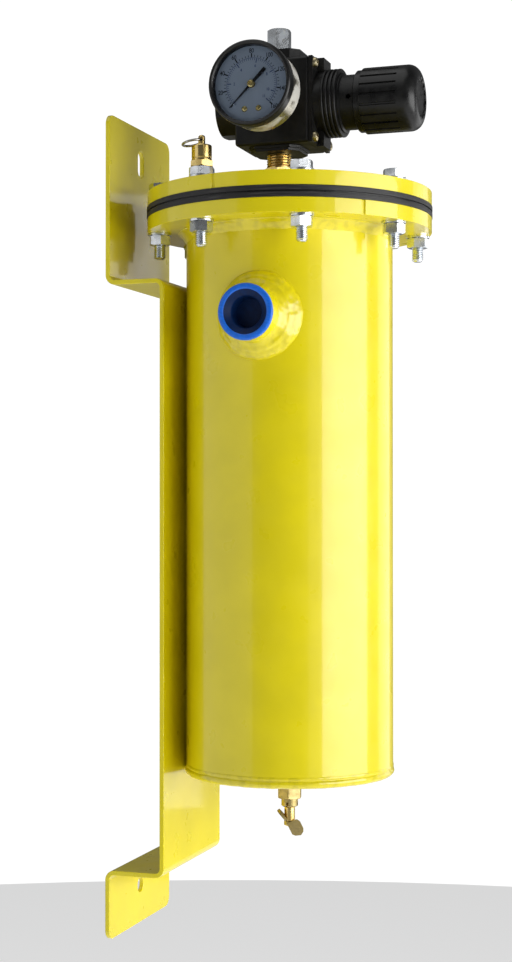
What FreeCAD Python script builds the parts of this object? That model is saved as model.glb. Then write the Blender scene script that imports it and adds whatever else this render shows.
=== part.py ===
import FreeCAD, Part
import math
import os
from FreeCAD import Matrix, Vector

os.makedirs("parts", exist_ok=True)

# A wall-hung compressed air filter: a welded steel vessel with a bolted cover, a filter cartridge inside,
# a pressure regulator with a gauge on top, a relief valve, a drain cock and a Z-bent wall bracket.
# All lengths are millimetres. The model is built with the vessel's axis on Z and the tube's lower end at
# z = 0, and is moved at the end so that the origin is the bracket's lower hole on the wall plane.
# The wall is at +Y, the inlet port and the gauge face -X, the knob points to -Y.

# ---------------------------------------------------------------- driving dimensions
# vessel
pipe_od = 141.3
pipe_wall = 3.4
tube_length = 377.2
tube_end_setback = 2.0
flange_width = 26.75
flange_thickness = 9.6
floor_plate_thickness = 9.5
floor_plate_recess = 1.2
rim_notch_r = 1.3
rim_notch_offset = 0.2
cover_notch_deg = 167.2
flange_notch_deg = 226.5

# bolted joint
cover_thickness = 9.6
bolt_count = 8
bolt_ring_offset = 18.15
bolt_d = 8.0
bolt_pitch = 1.25
bolt_hole_play = 1.0
bolt_length = 46.4
bolt_head_margin = 5.0
bolt_head_height = 5.3
bolt_turn_deg = 17.0
nut_turn_deg = 23.0
nut_start_deg = 8.0
nut_height = 6.8
washer_margin = 8.0
washer_thickness = 1.6
threaded_end = 13.0
gasket_thickness = 3.4
gasket_overhang = 0.4
thread_clearance = 0.05
thread_depth_share = 0.6

# filter cartridge
carrier_thickness = 1.0
carrier_inset = 0.8
carrier_opening_r = 22.0
cartridge_clearance = 19.25
cartridge_length = 228.0
cartridge_cap_thickness = 2.0
cartridge_cap_lip = 7.0
core_margin = 2.5
core_wall = 1.0
core_hole_r = 3.0
core_hole_rows = 6
core_holes_per_row = 8
pleat_count = 36
pleat_depth = 16.0
media_gap = 0.5
seal_margin = 2.0
seal_ring_width = 13.0
bridge_width = 12.0
bridge_thickness = 2.6
tie_rod_d = 8.0

# inlet
inlet_drop = 69.8
coupling_od = 34.9
coupling_bore_r = 12.1
coupling_reach = 21.55
baffle_thickness = 2.0
baffle_gap = 5.2
baffle_height = 66.0
baffle_half_deg = 34.0
cap_rim_margin = 0.85
cap_rim_thickness = 3.2
cap_rim_edge = 0.9
cap_plug_length = 12.0
cap_plug_lead = 1.2
cap_wall = 1.7
cap_mouth_r = 15.0
cap_floor = 1.8
running_clearance = 0.05

# drain cock
bung_wall = 4.3
bung_height = 20.0
drain_thread_r = 6.7
drain_thread_length = 10.0
drain_hex_af = 15.2
drain_hex_turn_deg = 12.0
drain_hex_top = -2.6
drain_hex_height = 13.6
drain_shoulder_r = 5.7
drain_shoulder_height = 5.4
drain_slot_width = 1.6
drain_slot_depth = 3.2
drain_stem_r = 3.65
drain_stem_length = 9.7
drain_stem_gap = 0.3
drain_spigot_r = 2.0
drain_spigot_length = 2.8
drain_rivet_r = 2.8
drain_rivet_height = 0.8
drain_sleeve_wall = 1.85
needle_thread_r = 2.6
drain_passage_r = 1.9
drain_seat_rise = 4.0
needle_seat_gap = 0.05
needle_point = 1.0
needle_point_taper = 0.6
wing_thickness = 1.9
wing_length = 12.3
wing_half_width = 4.1
wing_rise_deg = 130.9
wing_stand_off = 3.3
handle_turn_deg = -72.6

# wall bracket
bracket_stand_off = 39.35
bracket_width = 111.0
bracket_thickness = 3.2
bracket_bend_r = 3.4
bracket_corner_r = 7.0
upper_step_drop = 43.9
upper_tab_height = 116.2
lower_step_z = -61.9
lower_tab_height = 47.3
slot_drop = 24.9
slot_width = 10.2
slot_length = 18.6
lower_hole_rise = 26.3
lower_hole_d = 10.3

# regulator
regulator_rise = 61.0
port_axis_y = 7.2
body_half_x = 21.5
body_half_z = 29.0
body_front_y = -20.0
body_back_y = 32.4
body_edge_r = 2.0
boss_half_x = 17.0
boss_half_y = 18.4
boss_corner = 6.0
lower_boss_height = 3.6
upper_boss_height = 7.4
gauge_boss_r = 12.0
gauge_boss_height = 1.5
nipple_thread_r = 8.65
nipple_wall = 2.65
nipple_hex_margin = 0.85
nipple_hex_turn_deg = 10.0
nipple_hex_gap = 2.4
nipple_hex_height = 16.5
nipple_grip = 11.0
nipple_thread_pitch = 1.8
outlet_hex_af = 14.8
outlet_hex_turn_deg = 3.0
outlet_hex_height = 17.0
outlet_thread_r = 6.5
outlet_bore_r = 4.35
outlet_bore_depth = 12.0
outlet_passage_r = 3.0
fitting_grip = 9.0
chamber_r = 9.0
chamber_wall = 3.0
seat_bore_r = 3.4
seat_ring_wall = 2.6
air_way_r = 2.6
gauge_way_r = 2.0
diaphragm_r = 19.0
diaphragm_thickness = 1.2
diaphragm_recess = 3.6
valve_stroke = 1.5
poppet_disc_thickness = 3.0
poppet_lip = 1.8
poppet_stem_r = 1.4
poppet_tail_r = 2.2
poppet_tail_length = 4.0

# bonnet, measured along -Y from the regulator's front face
bonnet_plate_thickness = 2.8
ear_half_x = 8.5
ear_half_z = 30.0
ear_height = 4.4
barrel_margin = 4.5
barrel_length = 11.6
barrel_ridges = 4
ridge_depth = 1.3
neck_r = 18.5
neck_length = 24.2
bonnet_wall = 4.5
bonnet_end_wall = 3.0
vent_hole_r = 1.75
vent_hole_run = 8.1
screw_x = 17.0
screw_z = 25.0
screw_head_r = 3.4
screw_head_height = 2.6
screw_r = 2.0
screw_length = 12.0
screw_slot_half = 0.45
screw_slot_reach = 2.2

# adjusting train
adjusting_screw_r = 4.0
adjusting_collar_r = 6.5
adjusting_collar_height = 2.0
adjusting_hex_af = 9.0
adjusting_hex_length = 14.0
adjusting_screw_length = 31.5
spring_nut_play = 1.4
spring_nut_thickness = 6.0
spring_nut_gap = 3.0
key_width = 5.0
key_height = 1.6
key_clearance = 0.3
regulating_spring_wire_r = 1.3
regulating_spring_r = 9.6
regulating_spring_turns = 6
spring_gap = 0.15
plate_disc_thickness = 1.8
plate_boss_height = 3.2
poppet_spring_wire_r = 0.5
poppet_spring_r = 4.2
poppet_spring_turns = 6

# knob
knob_skirt_run = 11.2
knob_grip_run = 4.6
knob_length = 42.8
knob_skirt_wall = 2.3
knob_grip_wall = 3.6
knob_edge_r = 8.0
knob_clearance = 0.35
knob_end_wall = 7.0
knob_hub_r = 8.0
knob_groove_count = 20
knob_groove_width = 1.5
knob_groove_depth = 1.3
knob_groove_start = 1.6
knob_groove_length = 28.4
knob_recess_r = 12.4
knob_recess_depth = 1.1
knob_scallops = 14
knob_scallop_r = 1.9

# valve cap on the wall side of the regulator
valve_cap_height = 15.4
valve_cap_af = 36.6
valve_cap_chamfer = 2.0
valve_cap_spigot_r = 12.0
valve_cap_spigot = 8.0
o_ring_r = 1.2
o_ring_squash = 0.12

# pressure gauge, measured along -X from the regulator's side face
gauge_y = 3.4
gauge_back_run = 26.5
gauge_case_r = 26.6
gauge_case_wall = 0.8
gauge_case_round = 2.5
gauge_bezel_margin = 1.4
gauge_bezel_lip = 1.7
gauge_bezel_depth = 8.6
gauge_front_run = 3.0
dial_run = 22.6
gauge_dial_thickness = 0.6
dial_gap = 0.2
window_run = 3.6
gauge_window_thickness = 1.4
gauge_stem_r = 6.55
gauge_stem_grip = 9.0
gauge_hex_af = 14.0
gauge_collar_r = 4.9
pointer_gap = 1.0
pointer_thickness = 0.5
pointer_length = 21.0
pointer_tail = 13.5
pointer_rest_deg = -135.0
pointer_disc_r = 2.1
pointer_pin_r = 0.6
pointer_hub_r = 2.5
pinion_r = 1.6
sector_r = 9.6
mesh_gap = 0.25
sector_margin_deg = 5.0
arbor_r = 0.8
arbor_start = 0.2
dial_screw_x = 4.8
dial_screw_drop = 15.9
dial_screw_r = 1.95
dial_screw_shank_r = 1.0
dial_hole_play = 0.1
bourdon_margin = 7.6
bourdon_tube_r = 2.0
bourdon_start_deg = -80.0
bourdon_sweep_deg = 235.0
gauge_block_half = 4.5
movement_rise = 10.0
movement_drop = 3.0
sector_turn_deg = 45.0
zero_pin_reach = 17.4
zero_pin_offset = 0.95
zero_pin_r = 0.5

# relief valve
relief_wall_gap = 7.07
relief_deg = 110.42
relief_hex_af = 16.1
relief_coupling_height = 19.1
relief_coupling_seat_gap = 1.0
relief_thread_r = 5.1
relief_body_thread_r = 4.8
relief_body_hex_af = 15.0
relief_hex_height = 4.5
relief_body_r = 6.95
relief_body_height = 10.8
relief_body_cap = 1.6
relief_cavity_r = 4.6
relief_inlet_r = 2.4
relief_seat_rise = 1.5
relief_stem_r = 2.4
relief_stem_rise = 7.0
relief_stem_collar_r = 4.2
relief_stem_collar_height = 1.4
relief_spring_wire_r = 0.45
relief_spring_turns = 7
relief_seal_thickness = 0.8
relief_ring_r = 6.9
relief_ring_wire_r = 0.85
relief_hole_r = 1.5
relief_hole_rise = 3.6
relief_ring_drop_deg = 12.0

# ---------------------------------------------------------------- values worked out from those above
pipe_r = pipe_od / 2
pipe_inner_r = pipe_r - pipe_wall
flange_r = pipe_r + flange_width
bolt_circle_r = pipe_r + bolt_ring_offset
coupling_face_x = pipe_r + coupling_reach
inlet_height = tube_length - inlet_drop
cap_rim_r = coupling_od / 2 + cap_rim_margin
flange_top = tube_length + tube_end_setback
flange_bottom = flange_top - flange_thickness
carrier_bottom = flange_top + gasket_thickness
carrier_top = carrier_bottom + carrier_thickness
cover_bottom = carrier_top + gasket_thickness
cover_top = cover_bottom + cover_thickness
bolt_r = bolt_d / 2
bolt_hole_r = (bolt_d + bolt_hole_play) / 2
bolt_head_af = bolt_d + bolt_head_margin
washer_r = (bolt_d + washer_margin) / 2
bolt_seat = cover_top + washer_thickness
nut_top = flange_bottom - washer_thickness
first_bolt_deg = 180.0 / bolt_count
tie_rod_r = tie_rod_d / 2
bolt_bore_r = bolt_r + thread_clearance
cartridge_r = pipe_inner_r - cartridge_clearance
cartridge_top = carrier_bottom - gasket_thickness - cartridge_cap_thickness
cartridge_bottom = cartridge_top - cartridge_length
core_r = carrier_opening_r + core_margin
bung_r = drain_thread_r + bung_wall
drain_hex_bottom = drain_hex_top - drain_hex_height
drain_shoulder_bottom = drain_hex_bottom - drain_shoulder_height
drain_stem_top = drain_shoulder_bottom - drain_stem_gap
drain_stem_low = drain_stem_top - drain_stem_length
drain_spigot_low = drain_stem_low - drain_spigot_length
drain_seat_z = drain_hex_bottom + drain_seat_rise
mid_outer_y = pipe_r + bracket_thickness
wall_gap = mid_outer_y + bracket_stand_off
tab_inner_y = wall_gap - bracket_thickness
upper_step_z = tube_length - upper_step_drop
upper_tab_top = upper_step_z + upper_tab_height
lower_tab_bottom = lower_step_z - lower_tab_height
slot_z = upper_tab_top - slot_drop
lower_hole_z = lower_tab_bottom + lower_hole_rise
regulator_z = cover_top + regulator_rise
body_bottom = regulator_z - body_half_z
body_top = regulator_z + body_half_z
lower_boss_bottom = body_bottom - lower_boss_height
upper_boss_top = body_top + upper_boss_height
nipple_hex_bottom = cover_top + nipple_hex_gap
nipple_hex_top = nipple_hex_bottom + nipple_hex_height
nipple_hex_af = 2 * (nipple_thread_r + nipple_hex_margin)
nipple_bore_r = nipple_thread_r - nipple_wall
fitting_low = upper_boss_top - fitting_grip
outlet_top = upper_boss_top + outlet_hex_height
seat_y = port_axis_y - chamber_wall
spigot_y = body_back_y - valve_cap_spigot
bonnet_front = -body_front_y
bonnet_plate_end = bonnet_front + bonnet_plate_thickness
ear_end = bonnet_plate_end + ear_height
barrel_end = ear_end + barrel_length
barrel_r = neck_r + barrel_margin
neck_end = barrel_end + neck_length
bonnet_bore_r = neck_r - bonnet_wall
bonnet_cavity_end = neck_end - bonnet_end_wall
vent_hole_out = barrel_end + vent_hole_run
spring_nut_r = bonnet_bore_r - spring_nut_play
spring_nut_out = bonnet_cavity_end - adjusting_collar_height - spring_nut_gap
knob_skirt_out = barrel_end + knob_skirt_run
knob_grip_out = knob_skirt_out + knob_grip_run
knob_end_out = knob_skirt_out + knob_length
knob_skirt_r = neck_r + knob_skirt_wall
knob_grip_r = neck_r + knob_grip_wall
gauge_back_out = body_half_x + gauge_back_run
gauge_dial_out = gauge_back_out + dial_run
dial_face_out = gauge_dial_out + gauge_dial_thickness
gauge_window_out = gauge_dial_out + window_run
gauge_front_out = gauge_window_out + gauge_front_run
gauge_bezel_r = gauge_case_r + gauge_bezel_margin
gauge_bezel_inner_r = gauge_case_r - gauge_bezel_lip
bourdon_r = gauge_case_r - bourdon_margin
pointer_out = dial_face_out + pointer_gap
dial_screw_y = -dial_screw_drop
movement_back = gauge_back_out + movement_rise
movement_front = gauge_dial_out - movement_drop
sector_pivot_y = -(sector_r + pinion_r + mesh_gap)
relief_x = (pipe_inner_r - relief_wall_gap) * math.cos(math.radians(relief_deg))
relief_y = (pipe_inner_r - relief_wall_gap) * math.sin(math.radians(relief_deg))
relief_coupling_top = cover_top + relief_coupling_height
relief_body_hex_top = relief_coupling_top + relief_hex_height
relief_body_top = relief_body_hex_top + relief_body_height
relief_seat_z = relief_coupling_top + relief_seat_rise
relief_collar_z = relief_seat_z + relief_seal_thickness
relief_stem_top = relief_body_top + relief_stem_rise
relief_hole_z = relief_body_top + relief_hole_rise
relief_cavity_top = relief_body_top - relief_body_cap
Z_AXIS = Vector(0, 0, 1)
EPS = 0.01

# local frames: the third column is where the piece's own Z axis points
OUT_TO_KNOB = Matrix(1, 0, 0, 0, 0, 0, -1, 0, 0, 1, 0, regulator_z, 0, 0, 0, 1)
OUT_TO_GAUGE = Matrix(0, 0, -1, 0, -1, 0, 0, gauge_y, 0, 1, 0, regulator_z, 0, 0, 0, 1)
OUT_TO_INLET = Matrix(0, 0, -1, 0, -1, 0, 0, 0, 0, 1, 0, inlet_height, 0, 0, 0, 1)


# ---------------------------------------------------------------- small helpers
def cylinder(radius, z_low, z_high, x=0.0, y=0.0):
    return Part.makeCylinder(radius, z_high - z_low, Vector(x, y, z_low), Z_AXIS)


def ring(outer_r, inner_r, z_low, z_high, x=0.0, y=0.0):
    hole = cylinder(inner_r, z_low - 1, z_high + 1, x, y)
    return cylinder(outer_r, z_low, z_high, x, y).cut(hole)


def box(x_low, x_high, y_low, y_high, z_low, z_high):
    size = (x_high - x_low, y_high - y_low, z_high - z_low)
    return Part.makeBox(*size, Vector(x_low, y_low, z_low))


def union(shapes):
    return shapes[0].multiFuse(shapes[1:]).removeSplitter()


def minus(shape, tools):
    for tool in tools:
        shape = shape.cut(tool)
    return shape


def polygon_prism(points, z_low, height):
    corners = [Vector(px, py, z_low) for px, py in points]
    wire = Part.makePolygon(corners + [corners[0]])
    return Part.Face(wire).extrude(Vector(0, 0, height))


def regular_prism(sides, across_flats, z_low, z_high, x=0.0, y=0.0, turn_deg=0.0):
    corner_r = across_flats / 2 / math.cos(math.pi / sides)
    points = []
    for k in range(sides):
        angle = math.radians(turn_deg + 360.0 * k / sides)
        points.append((x + corner_r * math.cos(angle), y + corner_r * math.sin(angle)))
    return polygon_prism(points, z_low, z_high - z_low)


def turned(profile, x=0.0, y=0.0):
    """Solid of revolution about Z from a closed list of (radius, z) points."""
    corners = [Vector(radius, 0, z) for radius, z in profile]
    face = Part.Face(Part.makePolygon(corners + [corners[0]]))
    solid = face.revolve(Vector(0, 0, 0), Z_AXIS, 360)
    solid.translate(Vector(x, y, 0))
    return solid


def chamfered_hex(across_flats, z_low, z_high, x=0.0, y=0.0, turn_deg=0.0, top=True, bottom=True):
    """Hexagon whose corners are turned off at 30 degrees, as on a nut or a bolt head."""
    corner_r = across_flats / math.sqrt(3)
    cut = (corner_r - across_flats / 2) * math.tan(math.radians(30)) * 1.15
    low_r = across_flats / 2 * 0.98
    big_r = corner_r + 0.2
    if bottom:
        profile = [(0, z_low), (low_r, z_low), (big_r, z_low + cut)]
    else:
        profile = [(0, z_low), (big_r, z_low)]
    if top:
        profile += [(big_r, z_high - cut), (low_r, z_high), (0, z_high)]
    else:
        profile += [(big_r, z_high), (0, z_high)]
    prism = regular_prism(6, across_flats, z_low, z_high, x, y, turn_deg)
    return prism.common(turned(profile, x, y))


def thread(major_r, pitch, z_low, z_high, x=0.0, y=0.0):
    """Threaded length as a stack of equal V ridges."""
    minor_r = major_r - pitch * thread_depth_share
    count = max(1, int(round((z_high - z_low) / pitch)))
    step = (z_high - z_low) / count
    profile = [(0, z_low), (minor_r, z_low)]
    for k in range(count):
        base = z_low + k * step
        profile += [(major_r, base + 0.4 * step), (major_r, base + 0.6 * step), (minor_r, base + step)]
    profile.append((0, z_high))
    return turned(profile, x, y)


def helix_spring(coil_r, wire_r, z_low, z_high, turns, x=0.0, y=0.0):
    height = z_high - z_low - 2 * wire_r
    path = Part.makeHelix(height / turns, height, coil_r)
    circle = Part.Circle(Vector(coil_r, 0, 0), Vector(0, 1, 0), wire_r).toShape()
    spring = Part.Wire(path).makePipeShell([Part.Wire(circle)], True, True)
    spring.translate(Vector(x, y, z_low + wire_r))
    return spring


def polar(radius, angle_deg):
    return radius * math.cos(math.radians(angle_deg)), radius * math.sin(math.radians(angle_deg))


def bolt_places():
    step = 360.0 / bolt_count
    return [polar(bolt_circle_r, 180 + first_bolt_deg + k * step) for k in range(bolt_count)]


def bolt_holes(z_low, z_high):
    return [cylinder(bolt_hole_r, z_low - 1, z_high + 1, x, y) for x, y in bolt_places()]


def in_frame(shape, matrix):
    return shape.transformShape(matrix, True)


parts = {}


# ---------------------------------------------------------------- vessel
def make_vessel_shell():
    tube = ring(pipe_r, pipe_inner_r, 0, tube_length)
    port = in_frame(cylinder(coupling_bore_r, 0, flange_r), OUT_TO_INLET)
    return tube.cut(port)


def make_floor_plate():
    z_low = floor_plate_recess
    return ring(pipe_inner_r, bung_r, z_low, z_low + floor_plate_thickness)


def make_lower_flange():
    plate = ring(flange_r, pipe_r, flange_bottom, flange_top)
    notch_x, notch_y = polar(flange_r + rim_notch_offset, flange_notch_deg)
    notch = cylinder(rim_notch_r, flange_bottom - 1, flange_top + 1, notch_x, notch_y)
    return minus(plate, bolt_holes(flange_bottom, flange_top) + [notch])


def make_inlet_coupling():
    blank = in_frame(cylinder(coupling_od / 2, pipe_r * 0.8, coupling_face_x), OUT_TO_INLET)
    bore = in_frame(cylinder(coupling_bore_r, 0, coupling_face_x + 1), OUT_TO_INLET)
    return minus(blank, [cylinder(pipe_r, 0, tube_length), bore])


def make_inlet_baffle():
    """Curved plate inside the shell that turns the incoming air, on two legs that reach the wall."""
    outer_r = pipe_inner_r - baffle_gap
    inner_r = outer_r - baffle_thickness
    z_low = inlet_height - baffle_height / 2
    z_high = inlet_height + baffle_height / 2
    leg_deg = math.degrees(baffle_thickness / outer_r)
    plate = sector_ring(outer_r, inner_r, z_low, z_high, baffle_half_deg)
    legs_full = sector_ring(pipe_inner_r, inner_r, z_low, z_high, baffle_half_deg)
    gap_half_deg = baffle_half_deg - leg_deg
    gap_between = sector_ring(pipe_inner_r + 1, inner_r - 1, z_low - 1, z_high + 1, gap_half_deg)
    return union([plate, legs_full.cut(gap_between)])


def sector_ring(outer_r, inner_r, z_low, z_high, half_deg):
    """Part of a ring centred on -X that spans half_deg either side."""
    full = Part.makeCylinder(outer_r, z_high - z_low, Vector(0, 0, z_low), Z_AXIS, 2 * half_deg)
    full = full.cut(cylinder(inner_r, z_low - 1, z_high + 1))
    full.rotate(Vector(0, 0, 0), Z_AXIS, 180 - half_deg)
    return full


def make_drain_bung():
    z_low = floor_plate_recess
    return ring(bung_r, drain_thread_r, z_low, z_low + bung_height)


def make_wall_bracket():
    """One flat bar bent to a wide hat: tab, step, long middle plate, step, tab."""
    y_wall = wall_gap
    outline = [
        (y_wall, upper_tab_top), (y_wall, upper_step_z), (mid_outer_y, upper_step_z),
        (mid_outer_y, lower_step_z), (y_wall, lower_step_z), (y_wall, lower_tab_bottom),
        (tab_inner_y, lower_tab_bottom), (tab_inner_y, lower_step_z - bracket_thickness),
        (pipe_r, lower_step_z - bracket_thickness), (pipe_r, upper_step_z + bracket_thickness),
        (tab_inner_y, upper_step_z + bracket_thickness), (tab_inner_y, upper_tab_top),
    ]
    corners = [Vector(-bracket_width / 2, y, z) for y, z in outline]
    bar = Part.Face(Part.makePolygon(corners + [corners[0]])).extrude(Vector(bracket_width, 0, 0))
    inner_bends = [(y_wall, lower_step_z), (y_wall, upper_step_z)]
    inner_bends += [(pipe_r, lower_step_z - bracket_thickness), (pipe_r, upper_step_z + bracket_thickness)]
    outer_bends = [(mid_outer_y, upper_step_z), (mid_outer_y, lower_step_z)]
    outer_bends.append((tab_inner_y, lower_step_z - bracket_thickness))
    outer_bends.append((tab_inner_y, upper_step_z + bracket_thickness))
    bar = fillet_x_edges(bar, inner_bends, bracket_bend_r + bracket_thickness)
    bar = fillet_x_edges(bar, outer_bends, bracket_bend_r)
    tab_corners = []
    for edge in bar.Edges:
        middle = edge.CenterOfMass
        at_end = abs(middle.z - upper_tab_top) < EPS or abs(middle.z - lower_tab_bottom) < EPS
        at_side = abs(abs(middle.x) - bracket_width / 2) < EPS
        if at_end and at_side:
            tab_corners.append(edge)
    bar = bar.makeFillet(bracket_corner_r, tab_corners)
    return minus(bar, [slot_cutter(), lower_hole_cutter()])


def fillet_x_edges(solid, places, radius):
    """Rounds the edges that run along X through the given (y, z) places."""
    chosen = []
    for edge in solid.Edges:
        middle = edge.CenterOfMass
        for y, z in places:
            if abs(middle.y - y) < EPS and abs(middle.z - z) < EPS and abs(middle.x) < EPS:
                chosen.append(edge)
    return solid.makeFillet(radius, chosen)


def slot_cutter():
    half = (slot_length - slot_width) / 2
    reach = wall_gap + 5
    start_y = tab_inner_y - 5
    depth = reach - start_y
    ends = []
    for side in (-1, 1):
        start = Vector(0, start_y, slot_z + side * half)
        ends.append(Part.makeCylinder(slot_width / 2, depth, start, Vector(0, 1, 0)))
    middle = box(-slot_width / 2, slot_width / 2, start_y, reach, slot_z - half, slot_z + half)
    return union(ends + [middle])


def lower_hole_cutter():
    start = Vector(0, tab_inner_y - 5, lower_hole_z)
    return Part.makeCylinder(lower_hole_d / 2, bracket_thickness + 10, start, Vector(0, 1, 0))


# ---------------------------------------------------------------- bolted joint
def make_gasket(z_low):
    plate = ring(flange_r + gasket_overhang, pipe_inner_r, z_low, z_low + gasket_thickness)
    return minus(plate, bolt_holes(z_low, z_low + gasket_thickness))


def make_cover_plate():
    plate = cylinder(flange_r, cover_bottom, cover_top)
    notch_x, notch_y = polar(flange_r + rim_notch_offset, cover_notch_deg)
    holes = bolt_holes(cover_bottom, cover_top)
    holes.append(cylinder(rim_notch_r, cover_bottom - 1, cover_top + 1, notch_x, notch_y))
    for radius, x, y in ((nipple_thread_r, 0, port_axis_y), (relief_thread_r, relief_x, relief_y)):
        holes.append(cylinder(radius, cover_bottom - 1, cover_top + 1, x, y))
    return minus(plate, holes)


def make_bolts():
    solids = []
    end_z = bolt_seat - bolt_length
    for index, (x, y) in enumerate(bolt_places()):
        head = chamfered_hex(
            bolt_head_af, bolt_seat, bolt_seat + bolt_head_height, x, y, bolt_turn_deg * index, True, False
        )
        shank = cylinder(bolt_r, end_z + threaded_end, bolt_seat, x, y)
        tail = thread(bolt_r, bolt_pitch, end_z, end_z + threaded_end, x, y)
        solids.append(union([head, shank, tail]))
    return Part.Compound(solids)


def make_washers():
    solids = []
    for x, y in bolt_places():
        solids.append(ring(washer_r, bolt_r + thread_clearance, cover_top, bolt_seat, x, y))
        solids.append(ring(washer_r, bolt_r + thread_clearance, nut_top, flange_bottom, x, y))
    return Part.Compound(solids)


def make_nuts():
    solids = []
    for index, (x, y) in enumerate(bolt_places()):
        turn_deg = nut_turn_deg * index + nut_start_deg
        nut = chamfered_hex(bolt_head_af, nut_top - nut_height, nut_top, x, y, turn_deg)
        solids.append(nut.cut(cylinder(bolt_bore_r, 0, cover_top, x, y)))
    return Part.Compound(solids)


# ---------------------------------------------------------------- filter cartridge
def make_carrier_plate():
    plate = ring(flange_r - carrier_inset, carrier_opening_r, carrier_bottom, carrier_top)
    return minus(plate, bolt_holes(carrier_bottom, carrier_top))


def make_tie_rod_bridge():
    half = carrier_opening_r + bridge_width / 2
    bar = box(-half, half, -bridge_width / 2, bridge_width / 2, carrier_top, carrier_top + bridge_thickness)
    return bar.cut(cylinder(tie_rod_r, 0, cover_bottom))


def make_tie_rod():
    low = cartridge_bottom - nut_height - tie_rod_r
    return cylinder(tie_rod_r, low, carrier_top + bridge_thickness)


def make_tie_rod_nut():
    top = cartridge_bottom
    nut = chamfered_hex(bolt_head_af, top - nut_height, top)
    return nut.cut(cylinder(tie_rod_r, 0, cover_bottom))


def make_cartridge_seal():
    low = cartridge_top + cartridge_cap_thickness
    inner_r = carrier_opening_r + seal_margin
    return ring(inner_r + seal_ring_width, inner_r, low, carrier_bottom)


def make_cartridge_top_cap():
    top = cartridge_top + cartridge_cap_thickness
    disc = ring(cartridge_r, carrier_opening_r, cartridge_top, top)
    lip_r = cartridge_r - cartridge_cap_thickness
    lip = ring(cartridge_r, lip_r, cartridge_top - cartridge_cap_lip, cartridge_top)
    return union([disc, lip])


def make_cartridge_bottom_cap():
    top = cartridge_bottom + cartridge_cap_thickness
    disc = ring(cartridge_r, tie_rod_r, cartridge_bottom, top)
    lip_r = cartridge_r - cartridge_cap_thickness
    lip = ring(cartridge_r, lip_r, top, top + cartridge_cap_lip)
    return union([disc, lip])


def make_cartridge_core():
    low = cartridge_bottom + cartridge_cap_thickness
    tube = ring(core_r, core_r - core_wall, low, cartridge_top)
    drills = []
    row_step = (cartridge_top - low) / (core_hole_rows + 1)
    for row in range(core_hole_rows):
        for k in range(core_holes_per_row // 2):
            angle = 360.0 * k / core_holes_per_row + (row % 2) * 180.0 / core_holes_per_row
            direction = Vector(*polar(1, angle), 0)
            start = Vector(0, 0, low + (row + 1) * row_step) - direction * (core_r + 2)
            drills.append(Part.makeCylinder(core_hole_r, 2 * core_r + 4, start, direction))
    return minus(tube, drills)


def make_cartridge_media():
    outer = cartridge_r - cartridge_cap_thickness - media_gap
    points = []
    for k in range(2 * pleat_count):
        radius = outer if k % 2 == 0 else outer - pleat_depth
        points.append(polar(radius, 180.0 * k / pleat_count))
    low = cartridge_bottom + cartridge_cap_thickness
    star = polygon_prism(points, low, cartridge_top - low)
    return star.cut(cylinder(core_r, low - 1, cartridge_top + 1))


# ---------------------------------------------------------------- inlet cap
def make_inlet_cap():
    plug_r = coupling_bore_r - running_clearance
    face = coupling_face_x
    end = face - cap_plug_length
    front = face + cap_rim_thickness
    outer = turned([
        (0, end), (plug_r - cap_rim_edge, end), (plug_r, end + cap_plug_lead),
        (plug_r, face), (cap_rim_r, face), (cap_rim_r, front - cap_rim_edge),
        (cap_rim_r - cap_rim_edge, front), (0, front),
    ])
    hollow_r = plug_r - cap_wall
    hollow = turned([
        (0, end + cap_floor), (hollow_r, end + cap_floor), (hollow_r, face),
        (cap_mouth_r, front), (cap_mouth_r, front + 1), (0, front + 1),
    ])
    return in_frame(outer.cut(hollow), OUT_TO_INLET)


# ---------------------------------------------------------------- drain cock
def make_drain_body():
    thread_top = drain_hex_top + drain_thread_length + floor_plate_recess
    body = union([
        thread(drain_thread_r, bolt_pitch, drain_hex_top, thread_top),
        chamfered_hex(drain_hex_af, drain_hex_bottom, drain_hex_top, turn_deg=drain_hex_turn_deg),
        cylinder(drain_shoulder_r, drain_shoulder_bottom, drain_hex_bottom),
    ])
    cuts = [
        cylinder(needle_thread_r + running_clearance, drain_shoulder_bottom - 1, drain_seat_z),
        cylinder(drain_passage_r, drain_seat_z - 1, thread_top + 1),
    ]
    reach = drain_shoulder_r + 1
    half = drain_slot_width / 2
    slot_top = drain_shoulder_bottom + drain_slot_depth
    cuts.append(box(-reach, reach, -half, half, drain_shoulder_bottom - 1, slot_top))
    cuts.append(box(-half, half, -reach, reach, drain_shoulder_bottom - 1, slot_top))
    return minus(body, cuts)


def make_drain_needle():
    """Threaded needle; its plain stem hangs below the shoulder and carries the wings."""
    seat_low = drain_seat_z - needle_seat_gap
    neck = drain_passage_r - needle_seat_gap
    cone_low = seat_low - (needle_thread_r - drain_passage_r)
    tip = drain_seat_z + needle_point
    stem = cylinder(drain_stem_r, drain_stem_low, drain_stem_top)
    spigot = cylinder(drain_spigot_r, drain_spigot_low, drain_stem_low)
    rivet = cylinder(drain_rivet_r, drain_spigot_low - drain_rivet_height, drain_spigot_low)
    screw = cylinder(needle_thread_r, drain_stem_top, cone_low)
    point = turned([
        (0, cone_low), (needle_thread_r, cone_low), (neck, seat_low),
        (neck - needle_point_taper, tip), (0, tip),
    ])
    return union([stem, spigot, rivet, screw, point])


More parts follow.
